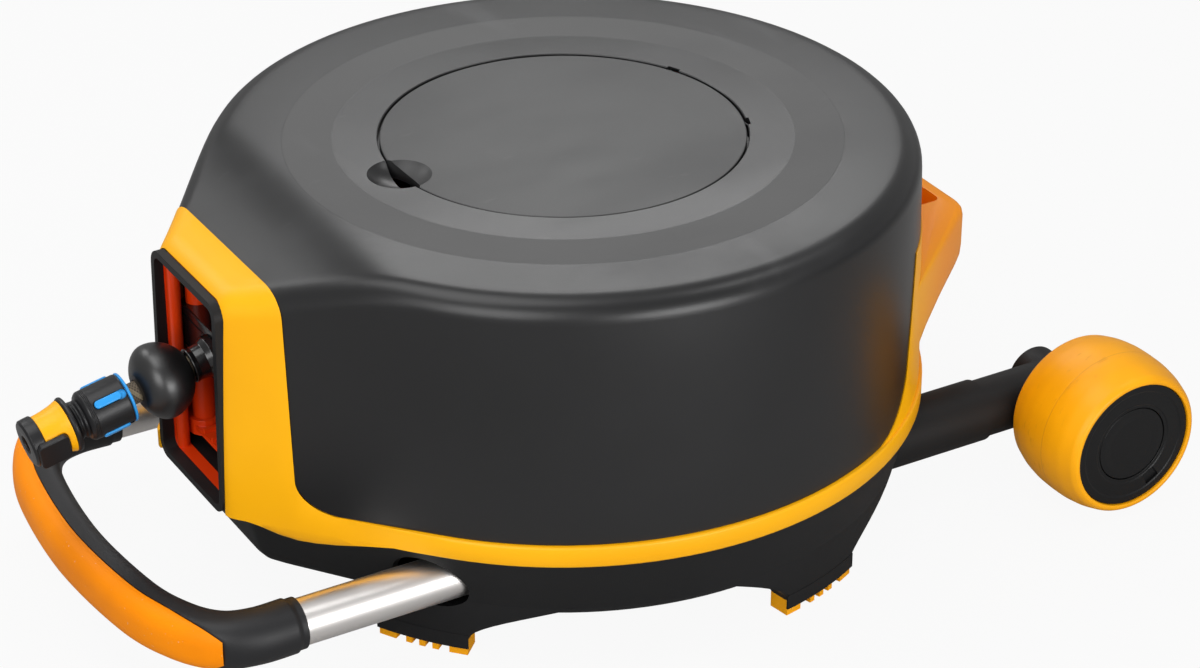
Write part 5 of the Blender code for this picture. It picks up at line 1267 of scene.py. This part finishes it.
def rounded_rectangle(half, low, high, corner, cuts=8):
    """An outline in the (y, z) plane, even about y = 0."""
    side, top, foot = half - corner, high - corner, low + corner
    outline = []
    for y, z, start in ((side, top, 0), (-side, top, 90), (-side, foot, 180), (side, foot, 270)):
        outline += arc(y, z, corner, start, start + 90, cuts)
    return outline


def across_x(name, outline, low, high):
    """An outline in the (y, z) plane, made thick along x."""
    return skin(name, [[(x, y, z) for y, z in outline] for x in (low, high)])


def flare_outline(base, reach, half):
    """A circle with a flat-ended spur along +x, whose corners are round."""
    tangent = math.atan2(half, reach) + math.acos(base / math.hypot(reach, half))
    foot = Vector(polar(base, tangent))
    corner = Vector((reach, half))
    before = corner + (foot - corner).normalized() * 0.009
    after = corner - Vector((0, 0.009))
    side = [foot + (before - foot) * k / 12 for k in range(12)]
    for t in (k / 8 for k in range(9)):
        side.append(before * (1 - t) ** 2 + corner * 2 * t * (1 - t) + after * t * t)
    side += [Vector((reach, after.y * (1 - k / 10))) for k in range(1, 10)]
    back = [math.pi - (math.pi - tangent) * k / 30 for k in range(30)]
    side = [Vector(polar(base, a)) for a in back] + side
    return [tuple(p) for p in side] + [(reach, 0.0)] + [(p.x, -p.y) for p in reversed(side[1:])]


def carry_flare():
    """The flare that carries the handle's bar, cut to the outside of the rear wall."""
    base = BODY_R - SHELL_INSET - 0.0024
    rows = [[(x, y, z) for x, y in flare_outline(base, reach, half)] for z, reach, half in CARRY_LEVELS]
    inside = [flat_ring(lambda a: wall_radius(a, h, SHELL_INSET + 0.0016), h) for h in (0.09, 0.2)]
    hollow = skin("hollow", inside)
    behind = slab("behind", [(0.177, -0.2), (0.4, -0.2), (0.4, 0.2), (0.177, 0.2)], 0.05, 0.3)
    return cut(keep(skin("flare", rows), behind), hollow)


def flush(angle, inward):
    """How far in the ring lies: proud round the body, and sunk into the outlet frame at the front."""
    off_nose = abs(math.degrees(angle) - 180)
    return max(inward, RING_SUNK * smooth((44 - off_nose) / 22))


def lip_height(x, height):
    """The lip under each flank of the frame runs out into the ring's lower edge both ways."""
    share = smooth(max((x + 0.248) / 0.056, (-x - FRAME_BACK) / 0.030))
    return max(height, height + (RING_BOTTOM + 0.0012 - height) * share)


def make_trim():
    """The frame with its flanks and their lip is one skin, which the ring and the flare join."""
    foot = RING_BOTTOM + 0.0015
    lip_line = [(TRIM_INSIDE, 0.0770), (TRIM_PROUD + 0.0040, 0.0770), (TRIM_PROUD + 0.0014, 0.0776)]
    lip_line += [(TRIM_PROUD, 0.0800)]
    lip = [
        ring_at(lambda a: wall_radius(a, foot, inward), lambda x: lip_height(x, height))
        for inward, height in lip_line
    ]
    outside, inside = body_skin(foot, TRIM_PROUD, RECESS_R), body_skin(foot, TRIM_INSIDE, RECESS_R)
    trim = skin("trim_frame", lip + outside + inside[::-1], True)
    cut(trim, seam_tool(-SEAM / 2))
    band = list(RING_BAND) + [(TRIM_INSIDE - 0.0009, 0.0154), (TRIM_INSIDE - 0.0009, 0.0)]
    rows = [
        flat_ring(lambda a: wall_radius(a, RING_BOTTOM, flush(a, inward)), RING_BOTTOM + up)
        for inward, up in band
    ]
    join(trim, skin("ring", rows, True))
    mouth = rounded_rectangle(OPEN_HALF + BEZEL_WALL, 0.060, OPEN_HIGH + BEZEL_WALL, 0.012, 10)
    cut(trim, across_x("mouth", mouth, -0.32, -0.262))
    join(trim, carry_flare())
    round_in = 0.006
    plan = arc(CARRY_BAR_IN - round_in, CARRY_HALF - round_in, round_in, 0, 90, 8)
    plan += [(CARRY_BODY, CARRY_HALF), (CARRY_BODY, -CARRY_HALF)]
    plan += arc(CARRY_BAR_IN - round_in, round_in - CARRY_HALF, round_in, 270, 360, 8)
    window = rounded_rectangle(CARRY_HALF, 0.110, 0.150, 0.012, 10)
    cut(trim, slab("slot", plan, 0.106, 0.234), across_x("window", window, CARRY_BODY, 0.4))
    rounded_off(trim, 0.0014, 48, 3)
    fitted(trim, "base", AMBER, "amber", "trim_frame", sharp=50, even=False)


make_trim()


# Outlet: a black liner in the frame's opening, and behind it the hose guide. Its glossy
# black carriage rides up and down a round orange-red column and a turned spindle, on
# an orange-red base with upright ribs.
GUIDE_X, GUIDE_Y = 0.256, 0.044
COLUMN_AT, SPINDLE_AT = (-GUIDE_X, GUIDE_Y, 0), (-GUIDE_X, -GUIDE_Y, 0)
COLUMN_R = 0.0080
SPINDLE_R = 0.0070
LINER_WALL = 0.0051
LINER_BACK = 0.2785
CARRIAGE_R = 0.0115  # of its two round ends
CARRIAGE_LOW, CARRIAGE_HIGH = 0.1595, 0.1955
BALL_AT = Vector((-0.306, 0, 0.169))
HOSE_DROOP = math.radians(12)
ALONG_HOSE = Matrix.Translation(BALL_AT) @ Matrix.Rotation(-math.pi / 2 - HOSE_DROOP, 4, "Y")
BLACK_GLOSS = moulded("black_gloss_plastic", (17, 17, 18), 0.22, 2.0, 0.03, 0.3, 0.1, 0.5).material


def opening(grow):
    """The outlet's outline, grown outward."""
    return rounded_rectangle(OPEN_HALF + grow, OPEN_LOW - grow, OPEN_HIGH + grow, 0.0065 + grow)


def make_liner():
    """The liner follows the front's slight lean, with rounded front edges, and a black plate under its foot
    as painted shade.
    """
    sections = []
    for grow, share in eased([(LINER_WALL, 0.0), (LINER_WALL, 1.0), (0.0, 1.0), (0.0, 0.0)], 0.0016, True, 3):
        section = []
        for y, z in opening(grow):
            front = SNOUT_REACH - NOSE_LEAN * rise(z) - 0.0010
            section.append((-(LINER_BACK + (front - LINER_BACK) * share), y, z))
        sections.append(section)
    liner = skin("outlet_bezel", sections, True)
    # Painted shade: a black plate under the opening's foot closes a gap that on the real reel is only shadow
    # under the trim.
    corners = [(-0.2800, -OPEN_HALF - 0.0050), (-0.2700, -0.0640), (-0.2463, -0.0905)]
    corners += [(x, -y) for x, y in reversed(corners)]
    join(liner, slab("shadow_plate", corners, OPEN_LOW - 0.0040, OPEN_LOW - 0.0012))
    fitted(liner, "base", ERODED_BLACK, "charcoal", "outlet_bezel", sharp=50)


def make_inner_frame():
    """The orange-red moulding behind the liner, with a rounded post in its far corner."""
    front, back = -0.2782, -0.2692
    places = ((0.0003, front), (0.0026, front), (0.0026, back), (0.0003, back))
    inner = skin("outlet_inner_frame", [[(x, y, z) for y, z in opening(grow)] for grow, x in places], True)
    post_at = (-0.2737, OPEN_HALF - 0.0036, 0)
    join(inner, rod("post", 0.0044, OPEN_LOW - 0.0010, OPEN_HIGH + 0.0010, post_at, steps=48))
    cut(inner, rod("gear_room", 0.0224, OPEN_LOW + 0.0008, 0.1000, SPINDLE_AT))
    rounded_off(inner, 0.0004, 50)
    fitted(inner, "base", ORANGE_RED, "orange_red", sharp=50)


def stadium(radius):
    """The carriage's plan: a round end about the column and one about the spindle."""
    return arc(-GUIDE_X, GUIDE_Y, radius, 0, 180, 24) + arc(-GUIDE_X, -GUIDE_Y, radius, 180, 360, 24)


def placed_on_hose(obj):
    """Moves what was made upright at the origin onto the hose's line, with the ball's middle at 0."""
    obj.data.transform(ALONG_HOSE)
    return obj


def on_hose(name, profile, edge=0.0003, steps=96, ring=True):
    """Turned round the hose's line; a profile's second number runs toward the nozzle."""
    return placed_on_hose(turned(name, profile, steps=steps, ring=ring, edge=edge))


def make_column():
    column_line = [(0, 0.2382), (COLUMN_R, 0.2382), (COLUMN_R, 0.0996), (0, 0.0996)]
    column = turned("guide_column", column_line, COLUMN_AT, steps=72, edge=0.0006)
    fitted(column, "base", ORANGE_RED, "orange_red", "guide_column")
    softened("guide_base", ORANGE_RED, 0.0005)


def make_carriage():
    """Two shallow grooves run round it, and a horn stands out round the hose."""
    rows = [(0.0014, CARRIAGE_LOW), (0.0004, CARRIAGE_LOW + 0.0004), (0.0, CARRIAGE_LOW + 0.0014)]
    for z in (0.1660, 0.1880):
        rows += [(0.0, z), (0.0008, z + 0.0004), (0.0008, z + 0.0012), (0.0, z + 0.0016)]
    rows += [(0.0, CARRIAGE_HIGH - 0.0014), (0.0004, CARRIAGE_HIGH - 0.0004), (0.0014, CARRIAGE_HIGH)]
    sections = [[(x, y, z) for x, y in stadium(CARRIAGE_R - inset)] for inset, z in rows]
    carriage = skin("hose_carriage", sections)
    horn_line = [
        (0.006, -0.0420), (0.0148, -0.0420), (0.0144, -0.0372), (0.0122, -0.0335), (0.0114, -0.0270),
        (0.0122, -0.0240), (0.0118, -0.0232), (0.006, -0.0232),
    ]
    join(carriage, on_hose("horn", horn_line, 0.0004))
    hose_room = [(0, 0), (HOSE_R + 0.0008, 0), (HOSE_R + 0.0008, -0.09), (0, -0.09)]
    cut(
        carriage,
        rod("column_hole", COLUMN_R + 0.0004, 0.1, 0.3, COLUMN_AT),
        rod("spindle_hole", SPINDLE_R + 0.0004, 0.1, 0.3, SPINDLE_AT),
        on_hose("hose_hole", hose_room, 0, 64, False),
    )
    rounded_off(carriage, 0.0006, 50)
    fitted(carriage, "carriage", BLACK_GLOSS, "black_gloss", "hose_carriage", sharp=50)


make_liner()
make_inner_frame()
make_column()
make_carriage()


# Hose end: the hose comes through the carriage to a glossy stop ball, then a quick
# connector with a blue release collar and pads, and a small amber nozzle with a black
# cover. Each is turned or moulded round the hose's drooping line.
BLUE_PLASTIC = moulded("blue_plastic", (46, 156, 232), 0.30, 1.0, 0.12, 0.08, 0.1).material
CONNECTOR_BLACK = moulded("connector_black_plastic", (23, 23, 25), 0.36, 0.8, 0.16).material
BALL_BLACK = moulded("ball_black_plastic", (13, 13, 14), 0.38, 1.6, 0.04, 0.0, 0.1, 0.9).material
NOZZLE_AMBER = moulded("nozzle_amber_plastic", (254, 176, 0), 0.36, 0.9, 0.14, 0.0, 0.06, 0.3).material
PAD_TURNS = (45, 135, 225, 315)  # degrees round the hose
NOZZLE_ARM_TURN = -105


def beside_hose(name, radial, half, low, high, turn, corner):
    """A small block beside the hose's line, with rounded plan corners, turned round it by an angle."""
    outline = rounded_rectangle(half, low, high, corner, 6)
    block = skin(name, [[(x, y, z) for y, z in outline] for x in radial])
    block.data.transform(Matrix.Rotation(math.radians(turn), 4, "Z"))
    return placed_on_hose(block)


def make_tail():
    tail_line = [(0, 0.0355), (HOSE_R, 0.0355), (HOSE_R, -0.0800), (0, -0.0800)]
    tail = on_hose("hose_tail", tail_line, 0.0003, 64, False)
    fitted(tail, "carriage", WOVEN_HOSE, "hose", "hose_tail")


def make_ball():
    """An ellipsoid, longer toward the carriage."""
    radius, front, back = 0.0262, 0.0168, 0.0240
    turns = [math.radians(d) for d in range(60, -68, -3)]
    bulge = [(radius * math.cos(a), (front if a > 0 else back) * math.sin(a)) for a in turns]
    ball_line = [(0.0078, 0.0150)] + bulge + [(0.0096, -0.0222), (0.0078, -0.0222)]
    ball = on_hose("stop_ball", ball_line, 0.0006, 128)
    fitted(ball, "carriage", BALL_BLACK, "black_gloss", "stop_ball")


def make_connector():
    """The body has three fine grooves round it and four pockets for the collar's pads."""
    bore = HOSE_R + 0.0004
    barrel_line = [
        (0.005, 0.0680), (0.0085, 0.0680), (0.0085, 0.0625), (0.0124, 0.0618), (0.0130, 0.0606),
        (0.0120, 0.0594), (0.0120, 0.0586), (0.0132, 0.0572), (0.0130, 0.0560), (0.0152, 0.0552),
        (0.0168, 0.0534),
    ]
    for along in (0.0517, 0.0506, 0.0495):
        barrel_line += [(0.0172, along + 0.0006), (0.0168, along + 0.0003), (0.0172, along)]
    barrel_line += [
        (0.0173, 0.0400), (0.0172, 0.0262), (0.0168, 0.0252), (0.0163, 0.0252), (0.0163, 0.0324),
        (0.0125, 0.0324), (0.0125, 0.0225), (bore, 0.0225), (bore, 0.0360), (0.005, 0.0360),
    ]
    barrel = on_hose("connector_body", barrel_line)
    collar_line = [
        (0.0157, 0.0312), (0.0157, 0.0248), (0.0170, 0.0246), (0.0173, 0.0240), (0.0170, 0.0231),
        (0.0162, 0.0228), (0.0129, 0.0228), (0.0129, 0.0312),
    ]
    collar = on_hose("connector_collar", collar_line, 0.0002)
    for turn in PAD_TURNS:
        cut(barrel, beside_hose("groove", (0.0142, 0.03), 0.0032, 0.0256, 0.0487, turn, 0.00288))
        pad = beside_hose("pad", (0.0146, 0.0182), 0.0027, 0.0290, 0.0480, turn, 0.00243)
        rounded_off(pad, 0.0008, 40)
        join(collar, pad)
    rounded_off(barrel, 0.0003, 50)
    fitted(barrel, "carriage", CONNECTOR_BLACK, "charcoal", "connector_body")
    fitted(collar, "collar", BLUE_PLASTIC, "blue", "connector_collar")


def make_nozzle():
    """A black rim, the amber body, and the black cover, whose arm lies in the body's pocket."""
    rim_line = [
        (0.0092, 0.0634), (0.0176, 0.0630), (0.0187, 0.0636), (0.0190, 0.0646), (0.0188, 0.0658),
        (0.0180, 0.0668), (0.0092, 0.0668),
    ]
    fitted(on_hose("nozzle_rim", rim_line), "nozzle", CONNECTOR_BLACK, "charcoal")
    body_line = [
        (0.0060, 0.0932), (0.0128, 0.0932), (0.0128, 0.0864), (0.0151, 0.0862), (0.0153, 0.0820),
        (0.0156, 0.0785), (0.0163, 0.0735), (0.0172, 0.0695), (0.0180, 0.0671), (0.0092, 0.0671),
        (0.0092, 0.0690), (0.0060, 0.0690),
    ]
    nozzle = on_hose("nozzle_body", body_line, 0.0004)
    cover_line = [
        (0.0062, 0.0950), (0.0066, 0.0958), (0.0100, 0.0960), (0.0148, 0.0957), (0.0162, 0.0944),
        (0.0164, 0.0905), (0.0164, 0.0872), (0.0160, 0.0865), (0.0131, 0.0865), (0.0131, 0.0936),
        (0.0062, 0.0936),
    ]
    cover = on_hose("nozzle_cover", cover_line, 0.0003)
    cut(nozzle, beside_hose("pocket", (0.0128, 0.03), 0.0106, 0.0713, 0.1100, NOZZLE_ARM_TURN, 0.0036))
    arm = beside_hose("arm", (0.0132, 0.0176), 0.0102, 0.0717, 0.0935, NOZZLE_ARM_TURN, 0.0034)
    rounded_off(arm, 0.0008, 40)
    join(cover, arm)
    rounded_off(nozzle, 0.0003, 50)
    fitted(nozzle, "nozzle", NOZZLE_AMBER, "amber", "nozzle_body")
    fitted(cover, "nozzle", CONNECTOR_BLACK, "charcoal", "nozzle_cover")


make_tail()
make_ball()
make_connector()
make_nozzle()
